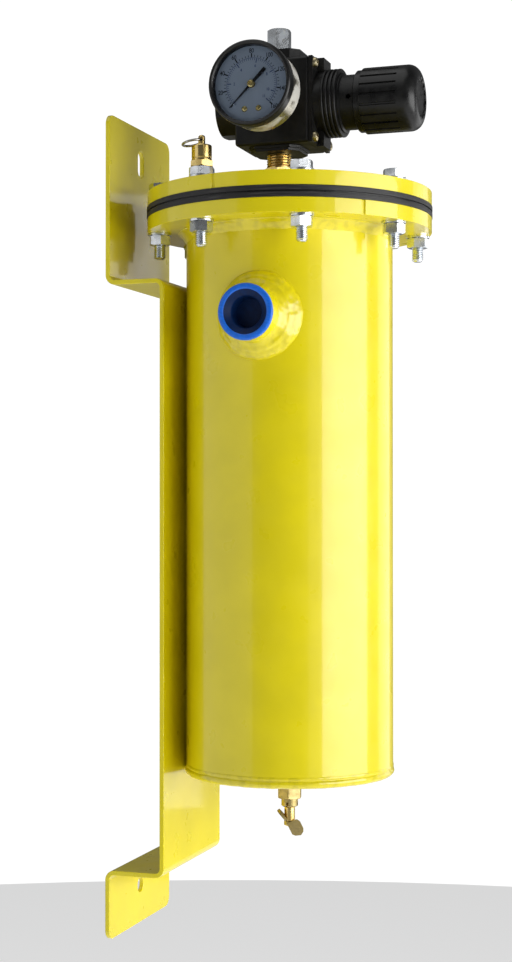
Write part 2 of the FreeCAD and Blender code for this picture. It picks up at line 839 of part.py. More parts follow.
def make_drain_handle():
    """Pressed wing handle riveted under the stem: one wing hangs broad, the other rises edge on."""
    low = drain_spigot_low + needle_seat_gap
    top = drain_stem_low - needle_seat_gap
    bore_r = drain_spigot_r + needle_seat_gap
    sleeve_r = bore_r + drain_sleeve_wall
    sleeve = ring(sleeve_r, bore_r, low, top)
    hanging = [
        (-0.15, -0.10), (0.22, 0.08), (0.41, 0.11), (0.57, 0.00), (0.76, -0.38), (0.76, -0.55),
        (0.63, -0.75), (0.31, -0.78), (0.14, -0.71), (0.06, -0.55), (-0.07, -0.30),
    ]
    corners = []
    for across, up in hanging:
        corners.append(Vector(across * wing_length, -wing_thickness / 2, drain_stem_low + up * wing_length))
    broad = Part.Face(Part.makePolygon(corners + [corners[0]])).extrude(Vector(0, wing_thickness, 0))
    broad.translate(Vector(0, -wing_stand_off, 0))
    rising = [
        (0.18, -0.55), (0.30, -0.88), (0.55, -1.0), (0.82, -0.85), (0.98, -0.40),
        (0.98, 0.40), (0.82, 0.85), (0.55, 1.0), (0.30, 0.88), (0.18, 0.55),
    ]
    outline = [(along * wing_length, share * wing_half_width) for along, share in rising]
    thin = polygon_prism(outline, -wing_thickness / 2, wing_thickness)
    thin.rotate(Vector(0, 0, 0), Vector(0, 1, 0), 360 - wing_rise_deg)
    thin.translate(Vector(0, 0, low + wing_thickness / 2))
    gap_r = drain_stem_r + running_clearance
    stem_room = cylinder(gap_r, top, drain_stem_top)
    spigot_room = cylinder(bore_r, low - wing_length, top + wing_length)
    rivet_room = cylinder(drain_rivet_r + running_clearance, low - wing_length, low)
    handle = minus(union([sleeve, broad, thin]), [stem_room, spigot_room, rivet_room])
    handle.rotate(Vector(0, 0, 0), Z_AXIS, handle_turn_deg)
    return handle


# ---------------------------------------------------------------- regulator
def octagon(z_low, height):
    xs, ys, cut = boss_half_x, boss_half_y, boss_corner
    points = [(xs, cut - ys), (xs, ys - cut), (xs - cut, ys), (cut - xs, ys)]
    points += [(-xs, ys - cut), (-xs, cut - ys), (cut - xs, -ys), (xs - cut, -ys)]
    shifted = [(px, py + port_axis_y) for px, py in points]
    return polygon_prism(shifted, z_low, height)


def make_regulator_body():
    block = box(-body_half_x, body_half_x, body_front_y, body_back_y, body_bottom, body_top)
    block = block.makeFillet(body_edge_r, block.Edges)
    boss_end = body_half_x + gauge_boss_height
    solid = union([
        block,
        octagon(lower_boss_bottom, lower_boss_height + 1),
        octagon(body_top - 1, upper_boss_height + 1),
        in_frame(cylinder(gauge_boss_r, body_half_x - 1, boss_end), OUT_TO_GAUGE),
    ])
    # inlet side: nipple port and the valve chamber that the cap closes
    port_top = lower_boss_bottom + nipple_grip + spring_gap
    cuts = [
        cylinder(nipple_thread_r, lower_boss_bottom - 1, port_top, 0, port_axis_y),
        cylinder(nipple_bore_r, lower_boss_bottom, regulator_z, 0, port_axis_y),
        y_cylinder(chamber_r, seat_y, body_back_y + 1),
        y_cylinder(valve_cap_spigot_r, spigot_y, body_back_y + 1),
    ]
    # seat bore, diaphragm chamber and the way up to the outlet port
    way_y = seat_y - chamber_wall - air_way_r
    way_top = fitting_low
    cuts += [
        y_cylinder(seat_bore_r + seat_ring_wall, seat_y - chamber_wall, seat_y + 1),
        y_cylinder(chamber_r - 1, body_front_y - 1, seat_y - chamber_wall),
        y_cylinder(diaphragm_r, body_front_y - 1, body_front_y + diaphragm_recess),
        cylinder(outlet_thread_r, fitting_low - 1, upper_boss_top + 1, 0, port_axis_y),
        cylinder(air_way_r, regulator_z + chamber_wall, way_top, 0, way_y),
        box(-air_way_r, air_way_r, way_y, port_axis_y, way_top - 2 * air_way_r, way_top),
    ]
    # gauge port and the four bonnet screw holes
    gauge_port_end = body_half_x - gauge_stem_grip
    cuts += [
        in_frame(cylinder(gauge_stem_r, gauge_port_end, boss_end + 1), OUT_TO_GAUGE),
        in_frame(cylinder(gauge_way_r, 0, body_half_x), OUT_TO_GAUGE),
    ]
    hole_end = body_front_y + screw_length
    cuts += [y_cylinder(screw_r, body_front_y - 1, hole_end, x, z) for x, z in screw_places()]
    return minus(solid, cuts)


def y_cylinder(radius, y_low, y_high, x=0.0, dz=0.0):
    return Part.makeCylinder(radius, y_high - y_low, Vector(x, y_low, regulator_z + dz), Vector(0, 1, 0))


def screw_places():
    return [(sx * screw_x, sz * screw_z) for sx in (-1, 1) for sz in (-1, 1)]


def make_regulator_nipple():
    """Close nipple: a thread into the cover, a hexagon and a thread into the regulator."""
    top = lower_boss_bottom + nipple_grip
    low = cover_bottom + gasket_overhang
    pitch = nipple_thread_pitch
    flats = nipple_hex_af
    solid = union([
        thread(nipple_thread_r, pitch, low, nipple_hex_bottom, 0, port_axis_y),
        chamfered_hex(flats, nipple_hex_bottom, nipple_hex_top, 0, port_axis_y, nipple_hex_turn_deg),
        thread(nipple_thread_r, pitch, nipple_hex_top, top, 0, port_axis_y),
    ])
    return solid.cut(cylinder(nipple_bore_r, cover_bottom - 1, top + 1, 0, port_axis_y))


def make_outlet_fitting():
    turn = outlet_hex_turn_deg
    solid = union([
        thread(outlet_thread_r, nipple_thread_pitch, fitting_low, upper_boss_top, 0, port_axis_y),
        chamfered_hex(outlet_hex_af, upper_boss_top, outlet_top, 0, port_axis_y, turn, True, False),
    ])
    return minus(solid, [
        cylinder(outlet_bore_r, outlet_top - outlet_bore_depth, outlet_top + 1, 0, port_axis_y),
        cylinder(outlet_passage_r, fitting_low - 1, outlet_top, 0, port_axis_y),
    ])


def bonnet_profile():
    """Half section of the ridged barrel and the plain neck, as (radius, distance) points."""
    groove_r = barrel_r - ridge_depth
    collar_r = neck_r + 1.6
    pitch = barrel_length / barrel_ridges
    profile = [(0, bonnet_front), (groove_r, bonnet_front), (groove_r, ear_end)]
    for k in range(barrel_ridges):
        base = ear_end + k * pitch
        profile += [(groove_r, base + 0.25 * pitch), (barrel_r, base + 0.42 * pitch)]
        profile += [(barrel_r, base + 0.84 * pitch), (groove_r, base + pitch)]
    profile += [(collar_r, barrel_end), (collar_r, barrel_end + 1.0), (neck_r, barrel_end + 1.6)]
    profile += [(neck_r, neck_end - 1.0), (neck_r - 1.0, neck_end), (0, neck_end)]
    return profile


def make_bonnet():
    """Cast cover over the spring: a screwed plate, two ears, a ridged barrel and a plain neck."""
    front = bonnet_front
    plate = box(-body_half_x, body_half_x, -body_half_z, body_half_z, front, bonnet_plate_end)
    plate_middle = (front + bonnet_plate_end) / 2
    corner_edges = [e for e in plate.Edges if abs(e.CenterOfMass.z - plate_middle) < EPS]
    plate = plate.makeFillet(body_edge_r, corner_edges)
    ears = box(-ear_half_x, ear_half_x, -ear_half_z, ear_half_z, bonnet_plate_end - EPS, ear_end)
    key_half = key_width / 2 + key_clearance
    key_reach = bonnet_bore_r + key_height
    cuts = [
        cylinder(bonnet_bore_r, front - 1, bonnet_cavity_end),
        cylinder(adjusting_screw_r + running_clearance, bonnet_cavity_end - 1, neck_end + 1),
        box(-key_half, key_half, -key_reach, key_reach, front - 1, bonnet_cavity_end),
    ]
    for x, z in screw_places():
        cuts.append(cylinder(screw_r + thread_clearance, front - 1, bonnet_plate_end + 1, x, z))
        cuts.append(cylinder(screw_head_r + key_clearance, bonnet_plate_end, neck_end, x, z))
    for side in (-1, 1):
        start = Vector(0, 0, vent_hole_out)
        cuts.append(Part.makeCylinder(vent_hole_r, neck_r + 3, start, Vector(side, 0, 0)))
    return in_frame(minus(union([plate, ears, turned(bonnet_profile())]), cuts), OUT_TO_KNOB)


def make_bonnet_screws():
    solids = []
    head_top = bonnet_plate_end + screw_head_height
    slot_low = bonnet_plate_end + screw_head_height / 2
    shank_start = bonnet_front - screw_length + spring_gap
    wide, narrow = screw_slot_reach, screw_slot_half
    for x, z in screw_places():
        head = cylinder(screw_head_r, bonnet_plate_end, head_top, x, z)
        head = head.makeFillet(0.9, [head.Edges[0]])
        shank = cylinder(screw_r, shank_start, bonnet_plate_end, x, z)
        slots = [
            box(x - wide, x + wide, z - narrow, z + narrow, slot_low, head_top + 1),
            box(x - narrow, x + narrow, z - wide, z + wide, slot_low, head_top + 1),
        ]
        solids.append(in_frame(minus(union([head, shank]), slots), OUT_TO_KNOB))
    return Part.Compound(solids)


def make_diaphragm():
    """Rubber disc clamped under the bonnet, with its rim thicker than its middle."""
    low = bonnet_front - diaphragm_thickness
    face = bonnet_front - 0.2
    solid = turned([
        (0, low), (diaphragm_r, low), (diaphragm_r, bonnet_front), (bonnet_bore_r, bonnet_front),
        (bonnet_bore_r - 1.5, face), (0, face),
    ])
    return in_frame(solid, OUT_TO_KNOB)


def make_diaphragm_plate():
    low = bonnet_front - 0.2
    disc_top = bonnet_front + plate_disc_thickness
    boss_r = regulating_spring_r - regulating_spring_wire_r - 0.6
    disc = cylinder(bonnet_bore_r - 2.5, low, disc_top)
    boss = cylinder(boss_r, disc_top, disc_top + plate_boss_height)
    return in_frame(union([disc, boss]), OUT_TO_KNOB)


def make_valve_seat():
    low = seat_y - chamber_wall
    outer = y_cylinder(seat_bore_r + seat_ring_wall, low, seat_y)
    return outer.cut(y_cylinder(seat_bore_r, low - 1, seat_y + 1))


def make_poppet():
    disc_end = seat_y + poppet_disc_thickness
    return union([
        y_cylinder(poppet_stem_r, body_front_y + diaphragm_thickness, seat_y + 1),
        y_cylinder(seat_bore_r + poppet_lip, seat_y, disc_end),
        y_cylinder(poppet_tail_r, disc_end, spigot_y + poppet_tail_length),
    ])


def make_poppet_spring():
    low = seat_y + poppet_disc_thickness
    end = spigot_y - low - spring_gap
    wire = poppet_spring_wire_r
    spring = helix_spring(poppet_spring_r, wire, spring_gap, end, poppet_spring_turns)
    spring.rotate(Vector(0, 0, 0), Vector(1, 0, 0), -90)
    spring.translate(Vector(0, low, regulator_z))
    return spring


def make_valve_cap():
    """Octagonal cap that closes the valve chamber and guides the poppet's tail."""
    height = valve_cap_height
    corner_r = valve_cap_af / 2 / math.cos(math.pi / 8)
    blank = regular_prism(8, valve_cap_af, 0, height, turn_deg=22.5)
    envelope = turned([
        (0, 0), (corner_r + 1, 0), (corner_r + 1, height - valve_cap_chamfer),
        (corner_r - valve_cap_chamfer, height), (0, height),
    ])
    spigot = cylinder(valve_cap_spigot_r, -valve_cap_spigot, 0)
    groove_middle = -valve_cap_spigot / 2
    groove = ring(
        valve_cap_spigot_r + 1, valve_cap_spigot_r - 2 * o_ring_r,
        groove_middle - o_ring_r, groove_middle + o_ring_r,
    )
    guide_r = poppet_tail_r + running_clearance
    guide = cylinder(guide_r, -valve_cap_spigot - 1, valve_stroke)
    cap = minus(union([blank.common(envelope), spigot]), [groove, guide])
    cap.rotate(Vector(0, 0, 0), Vector(1, 0, 0), -90)
    cap.translate(Vector(0, body_back_y, regulator_z))
    return cap


def make_cap_o_ring():
    radius = o_ring_r - o_ring_squash
    o_ring = Part.makeTorus(valve_cap_spigot_r - radius, radius)
    o_ring.rotate(Vector(0, 0, 0), Vector(1, 0, 0), 90)
    o_ring.translate(Vector(0, body_back_y - valve_cap_spigot / 2, regulator_z))
    return o_ring


# ---------------------------------------------------------------- adjusting screw, spring nut, knob
def make_adjusting_screw():
    collar_top = bonnet_cavity_end - running_clearance
    collar_low = bonnet_cavity_end - adjusting_collar_height
    thread_top = neck_end + 1.5
    hex_low = neck_end + 0.4
    solid = union([
        cylinder(adjusting_screw_r, thread_top - adjusting_screw_length, thread_top),
        cylinder(adjusting_collar_r, collar_low, collar_top),
        regular_prism(6, adjusting_hex_af, hex_low, neck_end + adjusting_hex_length),
    ])
    return in_frame(solid, OUT_TO_KNOB)


def make_spring_nut():
    low = spring_nut_out - spring_nut_thickness
    key_half = key_width / 2
    key_reach = bonnet_bore_r + key_height - key_clearance
    disc = cylinder(spring_nut_r, low, spring_nut_out)
    keys = box(-key_half, key_half, -key_reach, key_reach, low, spring_nut_out)
    bore = cylinder(adjusting_screw_r + running_clearance, low - 1, spring_nut_out + 1)
    return in_frame(union([disc, keys]).cut(bore), OUT_TO_KNOB)


def make_regulating_spring():
    low = bonnet_front + plate_disc_thickness + spring_gap
    high = spring_nut_out - spring_nut_thickness - spring_gap
    wire = regulating_spring_wire_r
    spring = helix_spring(regulating_spring_r, wire, low, high, regulating_spring_turns)
    return in_frame(spring, OUT_TO_KNOB)


def knob_profile():
    """Half section of the grip: a plain skirt, the grooved part and a rounded end."""
    end = knob_end_out
    profile = [(0, knob_skirt_out), (knob_skirt_r - 0.8, knob_skirt_out)]
    profile.append((knob_skirt_r, knob_skirt_out + 0.8))
    profile += [(knob_skirt_r, knob_grip_out - 0.6), (knob_grip_r, knob_grip_out + 0.6)]
    steps = 6
    for k in range(steps + 1):
        across, along = polar(knob_edge_r, 90.0 * k / steps)
        profile.append((knob_grip_r - knob_edge_r + across, end - knob_edge_r + along))
    profile.append((0, end))
    return profile


def make_knob():
    """Hollow moulded grip with grooves along it and a scalloped recess in its end."""
    cavity_end = knob_end_out - knob_end_wall
    hub_start = neck_end + knob_clearance
    socket_end = neck_end + adjusting_hex_length + key_clearance
    cavity = cylinder(neck_r + knob_clearance, knob_skirt_out - 1, cavity_end)
    hub = cylinder(knob_hub_r, hub_start, cavity_end)
    socket_af = adjusting_hex_af + 2 * running_clearance
    cuts = [cavity.cut(hub), regular_prism(6, socket_af, hub_start - 1, socket_end)]
    half = knob_groove_width / 2
    groove_low = knob_skirt_out + knob_groove_start
    groove_floor = knob_grip_r - knob_groove_depth
    for k in range(knob_groove_count):
        groove_high = groove_low + knob_groove_length
        groove = box(groove_floor, knob_grip_r + 2, -half, half, groove_low, groove_high)
        groove.rotate(Vector(0, 0, 0), Z_AXIS, 360.0 * k / knob_groove_count)
        cuts.append(groove)
    recess_floor = knob_end_out - knob_recess_depth
    recess = [cylinder(knob_recess_r, recess_floor, knob_end_out + 1)]
    for k in range(knob_scallops):
        x, y = polar(knob_recess_r, 360.0 * k / knob_scallops)
        recess.append(cylinder(knob_scallop_r, recess_floor, knob_end_out + 1, x, y))
    cuts.append(union(recess))
    return in_frame(minus(turned(knob_profile()), cuts), OUT_TO_KNOB)


# ---------------------------------------------------------------- pressure gauge
def make_gauge_case():
    front = gauge_window_out
    cup = cylinder(gauge_case_r, gauge_back_out, front)
    back_edges = [e for e in cup.Edges if abs(e.CenterOfMass.z - gauge_back_out) < EPS]
    cup = cup.makeFillet(gauge_case_round, back_edges)
    hollow = cylinder(gauge_case_r - gauge_case_wall, gauge_back_out + gauge_case_wall, front + 1)
    stem_hole = cylinder(gauge_collar_r, gauge_back_out - 1, gauge_back_out + 2)
    return in_frame(minus(cup, [hollow, stem_hole]), OUT_TO_GAUGE)


def make_gauge_bezel():
    back = gauge_front_out - gauge_bezel_depth
    front = gauge_front_out
    lip_back = gauge_window_out + gauge_window_thickness
    solid = turned([
        (gauge_case_r, back), (gauge_bezel_r, back), (gauge_bezel_r, front - 1.0),
        (gauge_bezel_r - 1.0, front), (gauge_bezel_inner_r + 0.8, front),
        (gauge_bezel_inner_r, front - 0.8), (gauge_bezel_inner_r, lip_back), (gauge_case_r, lip_back),
    ])
    return in_frame(solid, OUT_TO_GAUGE)


def make_gauge_window():
    low = gauge_window_out
    return in_frame(cylinder(gauge_case_r, low, low + gauge_window_thickness), OUT_TO_GAUGE)


def make_gauge_dial():
    low = gauge_dial_out
    disc_r = gauge_case_r - gauge_case_wall - dial_gap
    disc = ring(disc_r, pointer_hub_r, low, dial_face_out)
    hole_r = dial_screw_shank_r + dial_hole_play
    holes = [cylinder(hole_r, low - 1, low + 2, side * dial_screw_x, dial_screw_y) for side in (-1, 1)]
    pin_x, pin_y = zero_pin_place()
    holes.append(cylinder(zero_pin_r, low - 1, low + 2, pin_x, pin_y))
    return in_frame(minus(disc, holes), OUT_TO_GAUGE)


def make_dial_screws():
    seat = dial_face_out
    top = seat + 1.1
    solids = []
    for side in (-1, 1):
        x = side * dial_screw_x
        head = cylinder(dial_screw_r, seat, top, x, dial_screw_y)
        head = head.makeFillet(0.5, [e for e in head.Edges if abs(e.CenterOfMass.z - top) < EPS])
        slot = box(x - 3, x + 3, dial_screw_y - 0.25, dial_screw_y + 0.25, seat + 0.6, top + 1)
        slot.rotate(Vector(x, dial_screw_y, 0), Z_AXIS, 35 + 40 * side)
        shank = cylinder(dial_screw_shank_r, movement_front, seat, x, dial_screw_y)
        solids.append(in_frame(union([head, shank]).cut(slot), OUT_TO_GAUGE))
    return Part.Compound(solids)


def zero_pin_place():
    """Just below the resting pointer, near its tip."""
    x, y = polar(zero_pin_reach, 90 - pointer_rest_deg)
    side_x, side_y = polar(zero_pin_offset, 90 - pointer_rest_deg + 90)
    return x + side_x, y + side_y


def gauge_block():
    low = gauge_back_out + gauge_case_wall
    half = gauge_block_half
    return box(-half, half, dial_screw_y - 6.0, half, low, movement_back)


def make_gauge_socket():
    """Stem with the pipe thread, wrench hexagon and the block that carries tube and movement."""
    stem_start = body_half_x - gauge_stem_grip + spring_gap
    boss_end = body_half_x + gauge_boss_height
    hex_start = 2 * boss_end - body_half_x
    hex_end = gauge_back_out - 4.0
    solid = union([
        thread(gauge_stem_r, 1.4, stem_start, boss_end),
        cylinder(gauge_stem_r - 0.8, boss_end - 0.1, hex_start + 0.1),
        chamfered_hex(gauge_hex_af, hex_start, hex_end, turn_deg=15.0),
        cylinder(gauge_collar_r, hex_end - 0.1, gauge_back_out + gauge_case_wall),
        gauge_block(),
    ])
    pressure_way = cylinder(1.5, stem_start - 1, gauge_back_out + 4)
    return in_frame(solid.cut(pressure_way), OUT_TO_GAUGE)


def make_bourdon_tube():
    z_middle = gauge_back_out + gauge_case_wall + bourdon_tube_r + 1.0
    section = Part.Circle(Vector(bourdon_r, 0, z_middle), Vector(0, 1, 0), bourdon_tube_r).toShape()
    arc = Part.Face(Part.Wire(section)).revolve(Vector(0, 0, 0), Z_AXIS, bourdon_sweep_deg)
    arc.rotate(Vector(0, 0, 0), Z_AXIS, bourdon_start_deg)
    return in_frame(arc.cut(gauge_block()), OUT_TO_GAUGE)


def make_gauge_movement():
    """Two brass plates on pillars that carry the pointer's and the sector's arbors."""
    low, high = movement_back, movement_front
    plate_y = (dial_screw_y - 2.5, 4.0)
    back = box(-9.5, 9.5, *plate_y, low, low + 1.0)
    front = box(-9.5, 9.5, *plate_y, high - 1.0, high)
    rows = (dial_screw_y - 1.0, 2.6)
    pillars = [cylinder(1.2, low, high, side * 8.2, y) for side in (-1, 1) for y in rows]
    hole_r = arbor_r + running_clearance
    arbors = [cylinder(hole_r, low - 1, high + 1, 0, y) for y in (0, sector_pivot_y)]
    return in_frame(minus(union([back, front] + pillars), arbors), OUT_TO_GAUGE)


def make_pointer_hub():
    """Brass hub with its arbor and pinion."""
    cap_low = pointer_out + pointer_thickness
    cap_top = cap_low + 1.2
    solid = union([
        cylinder(arbor_r, movement_back + arbor_start, pointer_out),
        cylinder(pinion_r, movement_back + 2.0, movement_back + 5.5),
        cylinder(pointer_hub_r - 0.8, movement_front + 1.0, pointer_out),
        turned([
            (0, cap_low), (pointer_hub_r, cap_low), (pointer_hub_r, cap_low + 0.7),
            (pointer_hub_r - 0.7, cap_top), (0, cap_top),
        ]),
        cylinder(pointer_pin_r, pointer_out - 0.1, cap_low + 0.1),
    ])
    return in_frame(solid, OUT_TO_GAUGE)


def make_gauge_pointer():
    """Flat black blade, slim towards the tip, with a broad tail."""
    points = [
        (-0.18, pointer_length), (0.18, pointer_length), (0.75, 2.0), (1.0, 0), (1.15, -pointer_tail),
        (-1.15, -pointer_tail), (-1.0, 0), (-0.75, 2.0),
    ]
    blade = polygon_prism(points, pointer_out, pointer_thickness)
    blade = union([blade, cylinder(pointer_disc_r, pointer_out, pointer_out + pointer_thickness)])
    blade = blade.cut(cylinder(pointer_pin_r, pointer_out - 1, pointer_out + 2))
    blade.rotate(Vector(0, 0, 0), Z_AXIS, -pointer_rest_deg)
    return in_frame(blade, OUT_TO_GAUGE)


def make_zero_pin():
    x, y = zero_pin_place()
    top = pointer_out + pointer_thickness + 0.4
    return in_frame(cylinder(zero_pin_r, gauge_dial_out, top, x, y), OUT_TO_GAUGE)


def make_gauge_sector():
    """Fan-shaped sector wheel on its arbor, with a tail for the link."""
    low = movement_back + 2.5
    high = low + 2.0
    half = sector_turn_deg / 2 + sector_margin_deg
    fan = Part.makeCylinder(sector_r, high - low, Vector(0, 0, low), Z_AXIS, 2 * half)
    fan.rotate(Vector(0, 0, 0), Z_AXIS, 90 - half)
    web = cylinder(sector_r - 2.4, low - 1, high + 1).common(fan).cut(cylinder(3.0, low - 1, high + 1))
    spoke = box(-1.0, 1.0, 0, sector_r - 1.5, low, high)
    tail = box(-1.0, 1.0, -4.6, 0, low, high)
    wheel = union([fan.cut(web), spoke, tail, cylinder(2.2, low, high)])
    wheel = union([wheel, cylinder(arbor_r, movement_back + arbor_start, movement_front + 0.4)])
    wheel.rotate(Vector(0, 0, 0), Z_AXIS, -sector_turn_deg / 2)
    wheel.translate(Vector(0, sector_pivot_y, 0))
    return in_frame(wheel, OUT_TO_GAUGE)


# ---------------------------------------------------------------- relief valve
def make_relief_coupling():
    low = cover_bottom + 1.0
    seat = cover_top + relief_coupling_seat_gap
    top = relief_coupling_top
    solid = union([
        thread(relief_thread_r, 1.0, low, seat, relief_x, relief_y),
        chamfered_hex(relief_hex_af, seat, top, relief_x, relief_y, 8.0),
    ])
    return minus(solid, [
        cylinder(relief_body_thread_r, top - 9, top + 1, relief_x, relief_y),
        cylinder(relief_inlet_r, low - 1, top, relief_x, relief_y),
    ])


def make_relief_body():
    seat = relief_coupling_top
    hex_top = relief_body_hex_top
    top = relief_body_top
    solid = union([
        thread(relief_body_thread_r, 1.0, seat - 8, seat, relief_x, relief_y),
        chamfered_hex(relief_body_hex_af, seat, hex_top, relief_x, relief_y, 20.0),
        turned([
            (0, hex_top - 0.5), (relief_body_r, hex_top - 0.5), (relief_body_r, top - 0.6),
            (relief_body_r - 0.6, top), (0, top),
        ], relief_x, relief_y),
    ])
    return minus(solid, [
        cylinder(relief_cavity_r, relief_seat_z, relief_cavity_top, relief_x, relief_y),
        cylinder(relief_stem_r + running_clearance, relief_collar_z, top + 1, relief_x, relief_y),
        cylinder(relief_inlet_r, seat - 9, relief_seat_z + 1, relief_x, relief_y),
    ])


def make_relief_seal():
    seal_r = relief_stem_collar_r - 0.3
    return cylinder(seal_r, relief_seat_z, relief_collar_z, relief_x, relief_y)


def make_relief_stem():
    low = relief_collar_z
    top = relief_stem_top
    solid = union([
        cylinder(relief_stem_collar_r, low, low + relief_stem_collar_height, relief_x, relief_y),
        turned([
            (0, low), (relief_stem_r, low), (relief_stem_r, top - 1.4),
            (relief_stem_r - 1.0, top - 0.3), (0, top),
        ], relief_x, relief_y),
    ])
    start = Vector(relief_x - relief_stem_r - 2, relief_y, relief_hole_z)
    return solid.cut(Part.makeCylinder(relief_hole_r, 2 * relief_stem_r + 4, start, Vector(1, 0, 0)))


def make_relief_spring():
    low = relief_collar_z + relief_stem_collar_height + spring_gap
    high = relief_cavity_top - spring_gap
    coil_r = (relief_stem_r + relief_cavity_r) / 2
    wire = relief_spring_wire_r
    return helix_spring(coil_r, wire, low, high, relief_spring_turns, relief_x, relief_y)


def make_relief_ring():
    hoop = Part.makeTorus(relief_ring_r, relief_ring_wire_r)
    hoop.translate(Vector(0, relief_ring_r, 0))
    hoop.rotate(Vector(0, 0, 0), Vector(1, 0, 0), -relief_ring_drop_deg)
    hoop.translate(Vector(relief_x, relief_y, relief_hole_z))
    return hoop


# ---------------------------------------------------------------- assemble and write
parts["vessel_shell"] = make_vessel_shell()
parts["floor_plate"] = make_floor_plate()
parts["lower_flange"] = make_lower_flange()
parts["inlet_coupling"] = make_inlet_coupling()
parts["inlet_baffle"] = make_inlet_baffle()
parts["drain_bung"] = make_drain_bung()
parts["wall_bracket"] = make_wall_bracket()
parts["lower_gasket"] = make_gasket(flange_top)
parts["upper_gasket"] = make_gasket(carrier_top)
parts["cover_plate"] = make_cover_plate()
parts["flange_bolts"] = make_bolts()
parts["flange_washers"] = make_washers()
parts["flange_nuts"] = make_nuts()
parts["carrier_plate"] = make_carrier_plate()
parts["tie_rod_bridge"] = make_tie_rod_bridge()
parts["tie_rod"] = make_tie_rod()
parts["tie_rod_nut"] = make_tie_rod_nut()
parts["cartridge_seal"] = make_cartridge_seal()
parts["cartridge_top_cap"] = make_cartridge_top_cap()
parts["cartridge_bottom_cap"] = make_cartridge_bottom_cap()
parts["cartridge_core"] = make_cartridge_core()
parts["cartridge_media"] = make_cartridge_media()
parts["inlet_cap"] = make_inlet_cap()
parts["drain_body"] = make_drain_body()
parts["drain_needle"] = make_drain_needle()
parts["drain_handle"] = make_drain_handle()
parts["regulator_body"] = make_regulator_body()
parts["regulator_nipple"] = make_regulator_nipple()
parts["outlet_fitting"] = make_outlet_fitting()
parts["bonnet"] = make_bonnet()
parts["bonnet_screws"] = make_bonnet_screws()
parts["diaphragm"] = make_diaphragm()
parts["diaphragm_plate"] = make_diaphragm_plate()
parts["valve_seat"] = make_valve_seat()
parts["poppet"] = make_poppet()
parts["poppet_spring"] = make_poppet_spring()
parts["valve_cap"] = make_valve_cap()
parts["cap_o_ring"] = make_cap_o_ring()
parts["adjusting_screw"] = make_adjusting_screw()
parts["spring_nut"] = make_spring_nut()
parts["regulating_spring"] = make_regulating_spring()
parts["knob"] = make_knob()
parts["gauge_case"] = make_gauge_case()
parts["gauge_bezel"] = make_gauge_bezel()
parts["gauge_window"] = make_gauge_window()
parts["gauge_dial"] = make_gauge_dial()
parts["dial_screws"] = make_dial_screws()
parts["gauge_socket"] = make_gauge_socket()
parts["bourdon_tube"] = make_bourdon_tube()
parts["gauge_movement"] = make_gauge_movement()
parts["gauge_sector"] = make_gauge_sector()
parts["pointer_hub"] = make_pointer_hub()
parts["gauge_pointer"] = make_gauge_pointer()
parts["zero_pin"] = make_zero_pin()
parts["relief_coupling"] = make_relief_coupling()
parts["relief_body"] = make_relief_body()
parts["relief_stem"] = make_relief_stem()
parts["relief_seal"] = make_relief_seal()
parts["relief_spring"] = make_relief_spring()
parts["relief_ring"] = make_relief_ring()

origin_shift = Vector(0, -wall_gap, -lower_hole_z)
for node, shape in parts.items():
    shape.translate(origin_shift)
    shape.exportStep("parts/" + node + ".step")
    bounds = shape.BoundBox
    print("%-22s solids %2d  valid %s  z %.1f to %.1f" % (
        node, len(shape.Solids), shape.isValid(), bounds.ZMin, bounds.ZMax))
print(len(parts), "nodes")
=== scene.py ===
import math

import bmesh
import bpy
from bpy.props import FloatProperty, FloatVectorProperty, IntProperty, PointerProperty
from mathutils import Matrix, Vector


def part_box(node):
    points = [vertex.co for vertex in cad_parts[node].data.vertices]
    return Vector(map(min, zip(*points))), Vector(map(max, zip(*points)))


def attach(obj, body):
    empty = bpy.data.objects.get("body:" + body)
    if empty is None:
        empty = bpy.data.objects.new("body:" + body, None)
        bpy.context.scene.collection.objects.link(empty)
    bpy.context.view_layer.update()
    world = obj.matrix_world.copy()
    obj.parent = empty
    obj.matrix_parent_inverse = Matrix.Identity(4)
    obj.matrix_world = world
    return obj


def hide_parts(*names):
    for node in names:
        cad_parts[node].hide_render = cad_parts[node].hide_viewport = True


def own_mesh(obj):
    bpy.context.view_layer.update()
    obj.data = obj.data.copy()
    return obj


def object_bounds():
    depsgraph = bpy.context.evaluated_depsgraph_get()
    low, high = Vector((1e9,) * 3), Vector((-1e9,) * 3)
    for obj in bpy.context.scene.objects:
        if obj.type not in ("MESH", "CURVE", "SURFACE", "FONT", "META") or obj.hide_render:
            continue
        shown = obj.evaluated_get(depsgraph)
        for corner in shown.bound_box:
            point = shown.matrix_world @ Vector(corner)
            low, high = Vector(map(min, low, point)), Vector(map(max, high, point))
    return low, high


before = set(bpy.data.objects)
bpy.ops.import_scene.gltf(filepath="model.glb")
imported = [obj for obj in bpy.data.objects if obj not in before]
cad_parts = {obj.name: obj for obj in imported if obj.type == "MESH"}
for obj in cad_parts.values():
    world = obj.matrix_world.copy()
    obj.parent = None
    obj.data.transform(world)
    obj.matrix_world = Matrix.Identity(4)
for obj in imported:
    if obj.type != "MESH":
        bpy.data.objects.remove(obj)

bl_info = {
    "name": "Compressed air filter",
    "version": (1, 0, 0),
    "blender": (4, 5, 0),
    "location": "View3D > Sidebar > Air filter",
    "description": "Builds a wall-hung compressed air filter around its packed solids",
    "category": "Object",
}

